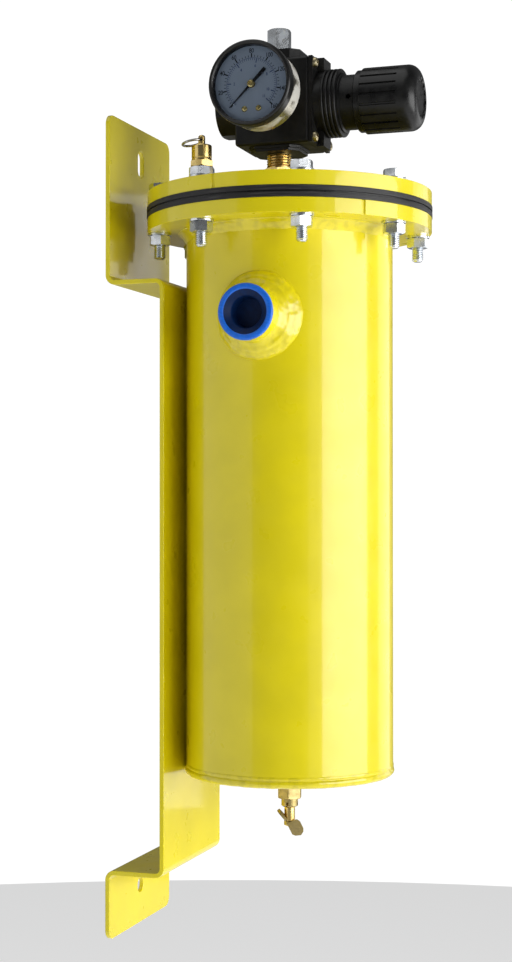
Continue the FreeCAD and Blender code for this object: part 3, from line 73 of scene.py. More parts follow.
# Pieces are drawn in millimetres in the frames below and settle into the row frame in metres.
MM = 0.001
FULL_TURN = 2 * math.pi
TUBE_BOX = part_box("vessel_shell")
FLANGE_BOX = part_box("lower_flange")
COVER_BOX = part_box("cover_plate")
CAD_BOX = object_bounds()
AXIS_Y = (TUBE_BOX[0].y + TUBE_BOX[1].y) / 2
TUBE_FOOT = TUBE_BOX[0].z
WELD_ANGLE = 60.0
REGULATOR_Z = 457.6
INLET_Z = 307.4
GAUGE_Y = 3.4
PORT_Y = 7.2
RELIEF_CAVITY_R = 4.6
RELIEF_X = -21.0
RELIEF_Y = 56.4


def local_frame(x_axis, y_axis, z_axis, place):
    """Matrix from millimetres in a piece's own frame to metres in the row frame."""
    turn = Matrix((x_axis, y_axis, z_axis)).transposed().to_4x4()
    shift = Matrix.Translation(Vector(place) * MM + Vector((0, AXIS_Y, TUBE_FOOT)))
    return shift @ turn @ Matrix.Scale(MM, 4)


UPRIGHT = local_frame((1, 0, 0), (0, 1, 0), (0, 0, 1), (0, 0, 0))
TO_KNOB = local_frame((1, 0, 0), (0, 0, 1), (0, -1, 0), (0, 0, REGULATOR_Z))
TO_CAP = local_frame((-1, 0, 0), (0, 0, 1), (0, 1, 0), (0, 0, REGULATOR_Z))
TO_GAUGE = local_frame((0, -1, 0), (0, 0, 1), (-1, 0, 0), (0, GAUGE_Y, REGULATOR_Z))
TO_INLET = local_frame((0, -1, 0), (0, 0, 1), (-1, 0, 0), (0, 0, INLET_Z))


# ------------------------------------------------------------------ shader toolkit
class Wire:
    """One shader socket that takes part in Python arithmetic."""

    def __init__(self, finish, socket):
        self.finish = finish
        self.socket = socket

    def _maths(self, operation, first, second):
        return self.finish.node("ShaderNodeMath", {"operation": operation}, {0: first, 1: second})

    def __add__(self, other):
        return self._maths("ADD", self, other)

    __radd__ = __add__

    def __mul__(self, other):
        return self._maths("MULTIPLY", self, other)

    __rmul__ = __mul__

    def __sub__(self, other):
        return self._maths("SUBTRACT", self, other)

    def __rsub__(self, other):
        return self._maths("SUBTRACT", other, self)

    def __gt__(self, other):
        return self._maths("GREATER_THAN", self, other)


FINISH_TAIL = "_finish"


class Finish:
    """The node tree of one material while it is written."""

    def __init__(self, name):
        self.material = bpy.data.materials.new(name + FINISH_TAIL)
        self.material.use_nodes = True
        self.tree = self.material.node_tree
        self.tree.nodes.clear()

    def node(self, kind, settings=None, inputs=None, output=0):
        """Adds any node: its settings and ramp stops first, then values or links of its sockets."""
        made = self.tree.nodes.new(kind)
        for key, value in (settings or {}).items():
            if key == "stops":
                ramp = made.color_ramp
                while len(ramp.elements) < len(value):
                    ramp.elements.new(0.5)
                for element, (place, colour) in zip(ramp.elements, value):
                    element.position = place
                    element.color = tuple(colour) + (1.0,) * (4 - len(colour))
            else:
                setattr(made, key, value)
        for key, value in (inputs or {}).items():
            socket = made.inputs[key]
            if isinstance(value, Wire):
                self.tree.links.new(value.socket, socket)
            else:
                socket.default_value = value
        return Wire(self, made.outputs[output]) if len(made.outputs) else None

    def place(self, scale=(1, 1, 1), shift=(0, 0, 0)):
        """Object coordinates in metres, stretched by scale after a shift."""
        spot = self.node("ShaderNodeTexCoord", output="Object")
        moved = self.node("ShaderNodeMapping", {"vector_type": "POINT"}, {"Vector": spot, "Location": shift})
        return self.node("ShaderNodeVectorMath", {"operation": "MULTIPLY"}, {0: moved, 1: scale})

    def noise(self, size_mm, detail=3.0, rough=0.5, stretch=(1, 1, 1)):
        """Smooth random values from 0 to 1 whose blobs are about size_mm across."""
        inputs = {"Vector": self.place(stretch), "Scale": 1 / (size_mm * MM), "Detail": detail, "Roughness": rough}
        return self.node("ShaderNodeTexNoise", {}, inputs)

    def ramp(self, factor, low, high, dark=0.0, bright=1.0):
        """Maps factor so that low gives dark and high gives bright, clamped outside."""
        settings = {"clamp": True, "interpolation_type": "SMOOTHSTEP"}
        inputs = {"Value": factor, 1: low, 2: high, 3: dark, 4: bright}
        return self.node("ShaderNodeMapRange", settings, inputs)

    def mix(self, factor, first, second):
        """Colour between first at 0 and second at 1."""
        first, second = (c if isinstance(c, Wire) else (*c, 1.0) for c in (first, second))
        settings = {"data_type": "RGBA", "clamp_factor": True}
        return self.node("ShaderNodeMix", settings, {0: factor, 6: first, 7: second}, 2)

    def bump(self, height, distance_mm, strength=1.0, below=None):
        inputs = {"Height": height, "Distance": distance_mm * MM, "Strength": strength}
        if below is not None:
            inputs["Normal"] = below
        return self.node("ShaderNodeBump", {}, inputs)

    def principled(self, **values):
        names = {key.replace("_", " ").title().replace("Ior", "IOR"): value for key, value in values.items()}
        fixed = {}
        for key, value in names.items():
            is_colour = key.endswith("Color") or key.endswith("Tint")
            fixed[key] = (*value, 1.0) if is_colour and not isinstance(value, Wire) else value
        return self.node("ShaderNodeBsdfPrincipled", {}, fixed)

    def close(self, shader):
        self.node("ShaderNodeOutputMaterial", {}, {"Surface": shader})
        return self.material


# ------------------------------------------------------------------ finishes
def yellow_enamel():
    """Thick semi-gloss enamel over rolled steel: orange peel, slight pooling and a little dust."""
    look = settings().paint_colour
    f = Finish("yellow_enamel")
    pool = f.noise(38.0, 4.0)
    deep = tuple(c * 0.96 for c in look)
    pale = tuple(min(1.0, c * 1.03 + 0.001) for c in look)
    colour = f.mix(f.ramp(pool, 0.35, 0.68), deep, pale)
    specks = f.ramp(f.noise(1.1, 2.0, 0.4), 0.80, 0.86)
    patches = f.ramp(f.noise(60.0, 2.0), 0.52, 0.66)
    colour = f.mix(specks * patches * 0.55, colour, (0.10, 0.075, 0.01))
    peel = f.bump(f.noise(2.6, 1.0), 0.05, 0.22)
    swell = f.bump(f.noise(24.0, 2.0), 0.14, 0.14, peel)
    return f.close(f.principled(
        base_color=colour, roughness=f.ramp(f.noise(17.0, 3.0), 0.3, 0.75, 0.27, 0.38),
        coat_weight=0.5, coat_roughness=0.05, normal=swell, specular_ior_level=0.45))


def weld_enamel():
    """The same enamel over a hand-laid weld bead, darker between the ripples as painted shade in the bead's hollows."""
    look = settings().paint_colour
    f = Finish("weld_enamel")
    ripple = f.noise(5.0, 2.0, 0.5)
    # painted shade: the colour falls to 0.84 of the paint where the ripple height is low
    colour = f.mix(f.ramp(ripple, 0.3, 0.6), tuple(c * 0.84 for c in look), look)
    rough = f.bump(ripple, 0.6, 0.4, f.bump(f.noise(1.6, 1.0), 0.06, 0.3))
    return f.close(f.principled(
        base_color=colour, roughness=0.3, coat_weight=0.6, coat_roughness=0.08, normal=rough))


def gasket_rubber():
    """Cut black sheet with a chalky scuffed rim."""
    f = Finish("gasket_rubber")
    streak = f.noise(2.0, 4.0, 0.6, (0.12, 0.12, 3.0))
    colour = f.mix(f.ramp(streak, 0.5, 0.78), (0.010, 0.010, 0.011), (0.055, 0.052, 0.050))
    lint = f.ramp(f.noise(0.8, 1.0), 0.80, 0.86)
    colour = f.mix(lint * 0.5, colour, (0.22, 0.21, 0.19))
    return f.close(f.principled(
        base_color=colour, roughness=f.ramp(streak, 0.3, 0.7, 0.42, 0.66), normal=f.bump(streak, 0.12, 0.5)))


def black_rubber():
    f = Finish("black_rubber")
    grain = f.noise(0.6, 3.0)
    return f.close(f.principled(
        base_color=f.mix(grain, (0.012, 0.012, 0.012), (0.030, 0.029, 0.028)), roughness=0.6,
        normal=f.bump(grain, 0.04, 0.4)))


def metal(name, bright, dull, smooth, rough, grain_mm=0.5, stretch=(1, 1, 1), stain=None, bump_mm=0.03):
    """Bare metal: cloudy tarnish, fine tool marks along stretch and scattered stains."""
    f = Finish(name)
    cloud = f.noise(8.0, 3.0, 0.5)
    marks = f.noise(grain_mm, 2.0, 0.5, stretch)
    colour = f.mix(f.ramp(cloud, 0.30, 0.75), bright, dull)
    if stain is not None:
        colour = f.mix(f.ramp(f.noise(3.2, 3.0, 0.6), 0.58, 0.80) * 0.5, colour, stain)
    roughness = f.ramp(cloud, 0.25, 0.75, smooth, rough) + (marks - 0.5) * 0.08
    return f.close(f.principled(
        base_color=colour, metallic=1.0, roughness=roughness, normal=f.bump(marks, bump_mm, 0.22)))


def bright_zinc():
    return metal("bright_zinc", (0.80, 0.83, 0.86), (0.60, 0.64, 0.68), 0.16, 0.36, 0.7,
                 (1.0, 1.0, 0.35), (0.66, 0.63, 0.50))


def yellow_zinc():
    return metal("yellow_zinc", (0.74, 0.62, 0.34), (0.52, 0.47, 0.33), 0.2, 0.4, 0.5)


def turned_brass():
    return metal("turned_brass", (0.86, 0.66, 0.27), (0.62, 0.44, 0.15), 0.14, 0.34, 0.35,
                 (0.2, 0.2, 2.2), (0.42, 0.28, 0.09), 0.02)


def aged_brass():
    """Brass bar stock with the dull green-brown skin that drain fittings keep."""
    return metal("aged_brass", (0.60, 0.47, 0.20), (0.36, 0.28, 0.11), 0.32, 0.52, 0.5,
                 (1, 1, 1), (0.24, 0.20, 0.09), 0.05)


def plain_steel():
    return metal("plain_steel", (0.50, 0.50, 0.50), (0.34, 0.34, 0.35), 0.3, 0.5, 0.6)


def spring_wire():
    return metal("spring_wire", (0.62, 0.60, 0.57), (0.40, 0.38, 0.35), 0.22, 0.4, 0.4)


def plated_case():
    """Thin bright plating whose gloss breaks up where the masking tore."""
    f = Finish("plated_case")
    torn = f.ramp(f.noise(11.0, 2.0, 0.45), 0.42, 0.62)
    colour = f.mix(torn, (0.72, 0.68, 0.56), (0.80, 0.78, 0.72))
    return f.close(f.principled(
        base_color=colour, metallic=f.ramp(torn, 0.0, 1.0, 1.0, 0.55),
        roughness=f.ramp(torn, 0.0, 1.0, 0.24, 0.5), normal=f.bump(f.noise(3.0, 2.0), 0.01, 0.1)))


def black_casting():
    """Satin black over a die casting: fine pebble, duller in the hollows."""
    f = Finish("black_casting")
    pebble = f.noise(0.55, 2.0)
    cloud = f.noise(9.0, 4.0, 0.6)
    colour = f.mix(f.ramp(cloud, 0.3, 0.7), (0.0035, 0.0035, 0.0037), (0.0085, 0.0085, 0.0082))
    return f.close(f.principled(
        base_color=colour, roughness=f.ramp(cloud, 0.25, 0.75, 0.36, 0.50), specular_ior_level=0.32,
        normal=f.bump(pebble, 0.04, 0.45)))


def black_moulding():
    """Moulded black plastic with a faint bloom."""
    f = Finish("black_moulding")
    cloud = f.noise(7.0, 4.0, 0.6)
    grain = f.noise(0.35, 2.0)
    colour = f.mix(f.ramp(cloud, 0.35, 0.7), (0.0040, 0.0040, 0.0042), (0.0095, 0.0095, 0.0095))
    return f.close(f.principled(
        base_color=colour, roughness=f.ramp(cloud, 0.3, 0.7, 0.26, 0.38),
        specular_ior_level=0.36, normal=f.bump(grain, 0.02, 0.35)))


def black_enamel():
    f = Finish("black_enamel")
    cloud = f.noise(6.0, 3.0)
    return f.close(f.principled(
        base_color=f.mix(cloud, (0.005, 0.005, 0.005), (0.012, 0.012, 0.012)),
        roughness=f.ramp(cloud, 0.3, 0.7, 0.26, 0.36), specular_ior_level=0.35,
        normal=f.bump(f.noise(1.2, 2.0), 0.01, 0.2)))


def dial_white():
    """Matt printed dial, slightly blue, with a soft mottling of the lacquer."""
    look = settings().dial_colour
    f = Finish("dial_white")
    cloud = f.noise(8.0, 3.0)
    colour = f.mix(f.ramp(cloud, 0.3, 0.7), tuple(c * 0.95 for c in look), look)
    return f.close(f.principled(
        base_color=colour, roughness=f.ramp(cloud, 0.3, 0.7, 0.45, 0.6), normal=f.bump(f.noise(0.5), 0.01, 0.3)))


def printing_ink(name, colour):
    """Screen-printed ink, a little uneven."""
    f = Finish(name)
    cloud = f.noise(0.5, 2.0)
    return f.close(f.principled(
        base_color=f.mix(cloud, tuple(c * 0.7 for c in colour), colour), roughness=0.5))


def clear_lens():
    """Clear glass: see-through where it is faced and shining at a glance, with faint wiping smears."""
    f = Finish("clear_lens")
    smear = f.ramp(f.noise(7.0, 4.0, 0.6), 0.55, 0.8, 0.0, 0.002)
    shine = f.node("ShaderNodeFresnel", {}, {"IOR": 1.45})
    gloss = f.node("ShaderNodeBsdfGlossy", {}, {"Color": (1, 1, 1, 1), "Roughness": 0.03})
    clear = f.node("ShaderNodeBsdfTransparent", {}, {"Color": (0.93, 0.96, 0.99, 1)})
    return f.close(f.node("ShaderNodeMixShader", {}, {0: f.ramp(shine, 0.05, 1.0, 0.0, 0.8) + smear, 1: clear, 2: gloss}))


def blue_moulding():
    """Soft moulded plastic with flow lines."""
    f = Finish("blue_moulding")
    flow = f.noise(3.0, 3.0, 0.5, (1, 1, 2.5))
    colour = f.mix(f.ramp(flow, 0.3, 0.7), (0.003, 0.125, 0.66), (0.004, 0.165, 0.80))
    return f.close(f.principled(
        base_color=colour, roughness=f.ramp(flow, 0.3, 0.7, 0.34, 0.44), subsurface_weight=0.05,
        normal=f.bump(flow, 0.06, 0.3)))


def blue_hollow():
    """Painted shade for the inside of the moulded plug: a dark navy standing in for the shadow in its recess, rough as
    left by its core.
    """
    f = Finish("blue_hollow")
    flow = f.noise(3.0, 3.0, 0.5)
    # painted shade: a navy far darker than the plug's own blue, where the recess falls into shadow
    colour = f.mix(f.ramp(flow, 0.3, 0.7), (0.0006, 0.012, 0.060), (0.0008, 0.018, 0.085))
    return f.close(f.principled(
        base_color=colour, roughness=f.ramp(flow, 0.3, 0.7, 0.45, 0.55), specular_ior_level=0.2,
        normal=f.bump(flow, 0.05, 0.3)))


def filter_paper():
    f = Finish("filter_paper")
    fibre = f.noise(0.5, 4.0, 0.7, (1, 1, 0.4))
    return f.close(f.principled(
        base_color=f.mix(fibre, (0.70, 0.63, 0.48), (0.85, 0.80, 0.68)), roughness=0.85,
        normal=f.bump(fibre, 0.08, 0.5)))


def pale_floor():
    look = stage_settings().floor_colour
    f = Finish("pale_floor")
    cloud = f.noise(140.0, 2.0)
    colour = f.mix(cloud, tuple(c * 0.99 for c in look), look)
    lit = f.principled(
        base_color=colour, roughness=0.9, emission_color=(1, 1, 1), emission_strength=stage_settings().floor_glow,
        specular_ior_level=0.1)
    return f.close(lit)


FINISH_MAKERS = (
    yellow_enamel, weld_enamel, gasket_rubber, black_rubber, bright_zinc, yellow_zinc, turned_brass, aged_brass,
    plain_steel, spring_wire, plated_case, black_casting, black_moulding, black_enamel, dial_white, clear_lens,
    blue_moulding, blue_hollow, filter_paper, pale_floor,
)


def finish(name):
    """The material of that name, made on first use."""
    found = bpy.data.materials.get(name + FINISH_TAIL)
    if found is None:
        makers = {maker.__name__: maker for maker in FINISH_MAKERS}
        if name == "black_ink":
            found = printing_ink(name, (0.010, 0.010, 0.012))
        elif name == "blue_ink":
            found = printing_ink(name, (0.055, 0.075, 0.20))
        else:
            found = makers[name]()
    return found


# ------------------------------------------------------------------ modelling toolkit
def deselect_all():
    if bpy.context.object is not None and bpy.context.object.mode != "OBJECT":
        bpy.ops.object.mode_set(mode="OBJECT")
    bpy.ops.object.select_all(action="DESELECT")


def pick(obj):
    deselect_all()
    obj.select_set(True)
    bpy.context.view_layer.objects.active = obj
    return obj


class Editing:
    """Edit mode on one object, all of it selected."""

    def __init__(self, obj):
        self.obj = obj

    def __enter__(self):
        pick(self.obj)
        bpy.ops.object.mode_set(mode="EDIT")
        bpy.ops.mesh.select_all(action="SELECT")
        return self.obj

    def __exit__(self, *_):
        bpy.ops.object.mode_set(mode="OBJECT")


def new_point(name, place):
    """An object of one vertex, from which a profile is drawn."""
    deselect_all()
    bpy.ops.mesh.primitive_plane_add(size=1.0)
    obj = bpy.context.object
    obj.name = name
    bpy.ops.object.mode_set(mode="EDIT")
    bpy.ops.mesh.select_all(action="SELECT")
    bpy.ops.mesh.merge(type="CENTER")
    bpy.ops.transform.translate(value=place)
    return obj


def draw_chain(name, points):
    """A chain of edges, drawn point after point; the object is left in edit mode."""
    obj = new_point(name, points[0])
    for here, there in zip(points, points[1:]):
        step = [b - a for a, b in zip(here, there)]
        bpy.ops.mesh.extrude_region_move(TRANSFORM_OT_translate={"value": step})
    return obj


def weld_doubles():
    bpy.ops.mesh.select_all(action="SELECT")
    bpy.ops.mesh.remove_doubles(threshold=0.0008)
    bpy.ops.mesh.normals_make_consistent(inside=False)


def turned(name, profile, steps=96, closed=False):
    """A piece turned on a lathe: (radius, height) points spun about the local Z axis."""
    points = [(r, 0.0, z) for r, z in profile]
    if closed:
        points.append(points[0])
    obj = draw_chain(name, points)
    bpy.ops.mesh.select_all(action="SELECT")
    bpy.ops.mesh.remove_doubles(threshold=0.0008)
    bpy.ops.mesh.select_all(action="SELECT")
    bpy.ops.mesh.spin(steps=steps, angle=FULL_TURN, center=(0, 0, 0), axis=(0, 0, 1), dupli=False)
    weld_doubles()
    bpy.ops.object.mode_set(mode="OBJECT")
    return obj


def outline_plate(name, outline, low, high):
    """A flat piece cut to an outline of (x, y) points and as thick as low to high."""
    points = [(x, y, low) for x, y in outline]
    obj = draw_chain(name, points + [points[0]])
    bpy.ops.mesh.select_all(action="SELECT")
    bpy.ops.mesh.remove_doubles(threshold=0.0008)
    bpy.ops.mesh.select_all(action="SELECT")
    bpy.ops.mesh.edge_face_add()
    bpy.ops.mesh.extrude_region_move(TRANSFORM_OT_translate={"value": (0, 0, high - low)})
    weld_doubles()
    bpy.ops.object.mode_set(mode="OBJECT")
    return obj


def regular_outline(sides, across_flats, turn_deg=0.0, x=0.0, y=0.0):
    corner_r = across_flats / 2 / math.cos(math.pi / sides)
    angles = [math.radians(turn_deg) + FULL_TURN * k / sides for k in range(sides)]
    return [(x + corner_r * math.cos(a), y + corner_r * math.sin(a)) for a in angles]


def block(name, low, high):
    """A rectangular piece between two corners."""
    deselect_all()
    middle = [(a + b) / 2 for a, b in zip(low, high)]
    size = [b - a for a, b in zip(low, high)]
    bpy.ops.mesh.primitive_cube_add(size=1.0, location=middle)
    obj = bpy.context.object
    obj.name = name
    obj.scale = size
    bpy.ops.object.transform_apply(location=True, rotation=True, scale=True)
    return obj


def apply_modifier(obj, modifier):
    pick(obj)
    bpy.ops.object.modifier_apply(modifier=modifier.name)


def soften(obj, width, segments=2, angle_deg=30.0, clamp=True):
    """Rounds every edge sharper than angle_deg."""
    bevel = obj.modifiers.new("soften", "BEVEL")
    bevel.width = width
    bevel.segments = segments
    bevel.limit_method = "ANGLE"
    bevel.angle_limit = math.radians(angle_deg)
    bevel.use_clamp_overlap = clamp
    bevel.harden_normals = False
    apply_modifier(obj, bevel)
    return obj


def combine(obj, tools, operation):
    """Boolean of obj with each tool; the tools are used up."""
    for tool in tools:
        step = obj.modifiers.new("combine", "BOOLEAN")
        step.operation = operation
        step.solver = "EXACT"
        step.object = tool
        apply_modifier(obj, step)
        bpy.data.objects.remove(tool, do_unlink=True)
    return obj


def smooth(obj, angle_deg=32.0):
    pick(obj)
    bpy.ops.object.shade_smooth_by_angle(angle=math.radians(angle_deg))
    return obj


def placed(obj, place):
    """Moves a piece and lets its mesh take up the move, so its origin stays where it was."""
    obj.matrix_world = place
    pick(obj)
    bpy.ops.object.transform_apply(location=True, rotation=True, scale=True)
    return obj


def shifted(obj, x=0.0, y=0.0, z=0.0, turn_deg=0.0):
    """Moves a piece, after a turn about its own Z axis."""
    return placed(obj, Matrix.Translation((x, y, z)) @ Matrix.Rotation(math.radians(turn_deg), 4, "Z"))


def saddled(obj, radius, strip=0.12):
    """Lifts a ring onto the round of a tube that lies along Y, one narrow strip of it at a time."""
    with Editing(obj):
        bpy.ops.mesh.select_all(action="DESELECT")
        mesh = bmesh.from_edit_mesh(obj.data)
        strips = {}
        for vertex in mesh.verts:
            strips.setdefault(round(abs(vertex.co.x) / strip), []).append(vertex)
        for place, members in sorted(strips.items()):
            for vertex in members:
                vertex.select = True
            mesh.select_flush_mode()
            rise = math.sqrt(radius ** 2 - (place * strip) ** 2)
            bpy.ops.transform.translate(value=(0, 0, rise))
            for vertex in members:
                vertex.select = False
            mesh.select_flush_mode()
    return obj


def twin(obj):
    copy = obj.copy()
    copy.data = obj.data.copy()
    bpy.context.collection.objects.link(copy)
    return copy


def joined(name, pieces):
    """One object from several."""
    deselect_all()
    for piece in pieces:
        piece.select_set(True)
    bpy.context.view_layer.objects.active = pieces[0]
    if len(pieces) > 1:
        bpy.ops.object.join()
    result = bpy.context.view_layer.objects.active
    result.name = name
    return result


def settle(obj, place, material, body="vessel", stands_for=(), angle_deg=32.0):
    """Puts a finished piece at its place in the row frame, gives it its finish and the body it rides on."""
    placed(obj, place)
    smooth(obj, angle_deg)
    if angle_deg < WELD_ANGLE:
        weight = obj.modifiers.new("weight", "WEIGHTED_NORMAL")
        weight.keep_sharp = True
        apply_modifier(obj, weight)
    obj.data.materials.clear()
    obj.data.materials.append(finish(material))
    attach(obj, body)
    if stands_for:
        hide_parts(*stands_for)
    return obj


def from_solid(node, name):
    """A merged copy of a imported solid, in metres, with its flat faces whole again."""
    obj = bpy.data.objects.new(name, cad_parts[node].data.copy())
    bpy.context.collection.objects.link(obj)
    with Editing(obj):
        bpy.ops.mesh.customdata_custom_splitnormals_clear()
        bpy.ops.mesh.remove_doubles(threshold=2e-6)
        bpy.ops.mesh.dissolve_limited(angle_limit=math.radians(0.7))
    return obj


def dressed_copy(node, name, material, body, width_mm, angle_deg=32.0, segments=2):
    """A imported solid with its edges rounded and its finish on."""
    obj = from_solid(node, name)
    if width_mm > 0:
        soften(obj, width_mm * MM, segments, angle_deg, clamp=True)
    return settle(obj, Matrix.Identity(4), material, body, (node,), angle_deg)


def screw_ridge(name, major_r, minor_r, pitch, low, high, steps=20):
    """The ridge of a thread as one long helix."""
    half = pitch * 0.46
    tip = pitch * 0.08
    root = minor_r - 0.15
    points = [(root, 0, low), (minor_r, 0, low), (major_r, 0, low + half - tip), (major_r, 0, low + half + tip),
              (minor_r, 0, low + 2 * half), (root, 0, low + 2 * half), (root, 0, low)]
    obj = draw_chain(name, points)
    bpy.ops.mesh.select_all(action="SELECT")
    bpy.ops.mesh.remove_doubles(threshold=0.0008)
    bpy.ops.object.mode_set(mode="OBJECT")
    turns = obj.modifiers.new("turns", "SCREW")
    turns.axis = "Z"
    turns.angle = FULL_TURN
    turns.screw_offset = pitch
    turns.iterations = max(1, int((high - low) / pitch) - 1)
    turns.steps = steps
    turns.render_steps = steps
    turns.use_merge_vertices = False
    apply_modifier(obj, turns)
    with Editing(obj):
        bpy.ops.mesh.remove_doubles(threshold=0.0005)
        bpy.ops.mesh.select_all(action="DESELECT")
        bpy.ops.mesh.select_non_manifold()
        bpy.ops.mesh.fill()
        bpy.ops.mesh.select_all(action="SELECT")
        bpy.ops.mesh.normals_make_consistent(inside=False)
    return obj


def threaded_rod(name, major_r, pitch, low, high, chamfer=0.6, depth=0.61, steps=20):
    """A rod with a true helical thread and turned-off ends."""
    minor_r = major_r - depth * pitch
    core = turned(name + "_core", [
        (0, low), (minor_r - chamfer, low), (minor_r, low + chamfer),
        (minor_r, high - chamfer), (minor_r - chamfer, high), (0, high)], steps=40)
    ridge = screw_ridge(name + "_ridge", major_r, minor_r, pitch, low + 0.35 * pitch, high, steps)
    return joined(name, [core, ridge])


def chamfered_hexagon(name, across_flats, low, high, turn_deg=0.0, top=True, bottom=True, edge=0.18):
    """A hexagon whose corners are turned off at 30 degrees."""
    corner_r = across_flats / math.sqrt(3)
    fall = (corner_r - across_flats / 2) * math.tan(math.radians(30)) * 1.25
    face_r = across_flats / 2 * 0.97
    big_r = corner_r + 0.15
    profile = [(0, low)]
    profile += [(face_r, low), (big_r, low + fall)] if bottom else [(big_r, low)]
    profile += [(big_r, high - fall), (face_r, high)] if top else [(big_r, high)]
    profile.append((0, high))
    blank = outline_plate(name, regular_outline(6, across_flats, turn_deg), low, high)
    envelope = turned(name + "_envelope", profile, steps=72)
    combine(blank, [envelope], "INTERSECT")
    return soften(blank, edge, 2, 28.0)


def add_lumps(obj, size, height, detail=2):
    """Uneven hand-laid surface from a procedural cloud."""
    cloud = bpy.data.textures.new(obj.name + "_lumps", "CLOUDS")
    cloud.noise_scale = size
    cloud.noise_depth = detail
    push = obj.modifiers.new("lumps", "DISPLACE")
    push.texture = cloud
    push.texture_coords = "LOCAL"
    push.strength = height
    push.mid_level = 0.5
    apply_modifier(obj, push)
    return obj


def weld_ring(name, centre_r, centre_z, half_width, half_height, steps=240, lump=2.6, height=0.9):
    """A bead laid round a joint, as a lumpy ring of oval section."""
    count = 14
    section = []
    for k in range(count):
        angle = FULL_TURN * k / count
        section.append((centre_r + half_width * math.cos(angle), centre_z + half_height * math.sin(angle)))
    ring = turned(name, section, steps=steps, closed=True)
    return add_lumps(ring, lump, height)


def drilled(obj, radius, low, high, x=0.0, y=0.0, steps=40):
    """Bores a round hole along the local Z axis."""
    tool = turned("drill", [(0, low), (radius, low), (radius, high), (0, high)], steps=steps)
    return combine(obj, [shifted(tool, x, y)], "DIFFERENCE")


def crosswise(obj, axis="Y", angle_deg=90.0):
    """Turns a piece about an axis through the origin."""
    return placed(obj, Matrix.Rotation(math.radians(angle_deg), 4, axis))


# ------------------------------------------------------------------ sizes a user would change
class AirFilterSettings(bpy.types.PropertyGroup):
    paint_colour: FloatVectorProperty(
        name="Paint", description="Colour of the vessel and the bracket", subtype="COLOR", size=3,
        default=(0.800, 0.680, 0.0010), min=0.0, max=1.0)
    dial_colour: FloatVectorProperty(
        name="Dial", description="Colour of the gauge's dial", subtype="COLOR", size=3,
        default=(0.42, 0.46, 0.53), min=0.0, max=1.0)
    edge_round: FloatProperty(
        name="Edge rounding", description="Rounding of the steel plates' edges, in mm", default=0.7, min=0.1, max=2.0)
    weld_height: FloatProperty(
        name="Weld height", description="Leg of the fillet weld under the flange, in mm", default=5.2, min=1.0)
    bolt_count: IntProperty(name="Bolts", description="Bolts round the flange", default=8, min=4, max=16)
    bolt_circle: FloatProperty(
        name="Bolt circle radius", description="Radius on which the bolts sit, in mm", default=88.8, min=50.0)
    knob_grooves: IntProperty(name="Knob grooves", description="Grooves round the knob", default=20, min=6, max=40)
    numeral_size: FloatProperty(
        name="Numeral size", description="Size of the dial's outer numerals, in mm", default=4.1, min=1.0, max=8.0)


class AirFilterStageSettings(bpy.types.PropertyGroup):
    floor_colour: FloatVectorProperty(
        name="Floor", description="Colour of the floor", subtype="COLOR", size=3, default=(0.86, 0.86, 0.86))
    floor_glow: FloatProperty(
        name="Floor glow", description="Light that the floor gives off by itself", default=0.55, min=0.0, max=2.0)
    floor_drop: FloatProperty(
        name="Floor drop", description="Distance from the lowest point to the floor", default=0.85, unit="LENGTH")
    key_power: FloatProperty(
        name="Key light", description="Power of the large soft light", default=33.0, min=0.0, unit="POWER")
    surround: FloatProperty(
        name="Surround", description="Brightness of the room around the object", default=0.12, min=0.0)


def settings():
    return bpy.context.scene.air_filter


def stage_settings():
    return bpy.context.scene.air_filter_stage


# ------------------------------------------------------------------ operators: vessel
def bolt_angles():
    count = settings().bolt_count
    return [180 + 180 / count + k * 360 / count for k in range(count)]


def bolt_spots():
    radius = settings().bolt_circle
    return [(radius * math.cos(math.radians(a)), radius * math.sin(math.radians(a))) for a in bolt_angles()]


class AIRFILTER_OT_tube(bpy.types.Operator):
    """Rolled tube with the welds at its two ends"""

    bl_idname = "airfilter.tube"
    bl_label = "Tube and welds"

    def execute(self, context):
        tube = turned("tube", [(67.25, 2.6), (70.65, 2.6), (70.65, 377.2), (67.25, 377.2)], 160, closed=True)
        soften(tube, 0.5, 2)
        settle(tube, UPRIGHT, "yellow_enamel", stands_for=("vessel_shell",))
        rim = weld_ring("rim_weld", 68.4, 4.3, 3.0, 3.0, 320, 6.0, 0.7)
        second_pass = weld_ring("rim_weld_high", 69.0, 7.7, 2.0, 2.2, 320, 5.0, 0.6)
        settle(joined("rim_weld", [rim, second_pass]), UPRIGHT, "weld_enamel", angle_deg=WELD_ANGLE)
        top = 369.6
        leg = settings().weld_height
        profile = [(69.5, top + 1), (69.5, top - leg - 2.4), (70.7, top - leg - 1.4), (71.9, top - leg + 0.6),
                   (73.0, top - leg * 0.52), (74.4, top - leg * 0.24), (76.2, top - 0.3), (76.4, top + 1)]
        fillet = add_lumps(turned("flange_weld", profile, 320, closed=True), 6.5, 1.0, 1)
        settle(fillet, UPRIGHT, "weld_enamel", angle_deg=WELD_ANGLE)
        return {"FINISHED"}


class AIRFILTER_OT_plates(bpy.types.Operator):
    """Flange, cover, gaskets and the floor of the vessel"""

    bl_idname = "airfilter.plates"
    bl_label = "Flange, cover and gaskets"

    def execute(self, context):
        width = settings().edge_round
        for node, name in (("lower_flange", "flange"), ("cover_plate", "cover")):
            dressed_copy(node, name, "yellow_enamel", "vessel", width, segments=3)
        for node, name in (("lower_gasket", "gasket_low"), ("upper_gasket", "gasket_high")):
            dressed_copy(node, name, "gasket_rubber", "vessel", 0.35)
        dressed_copy("floor_plate", "floor_disc", "yellow_enamel", "vessel", 0.4)
        return {"FINISHED"}


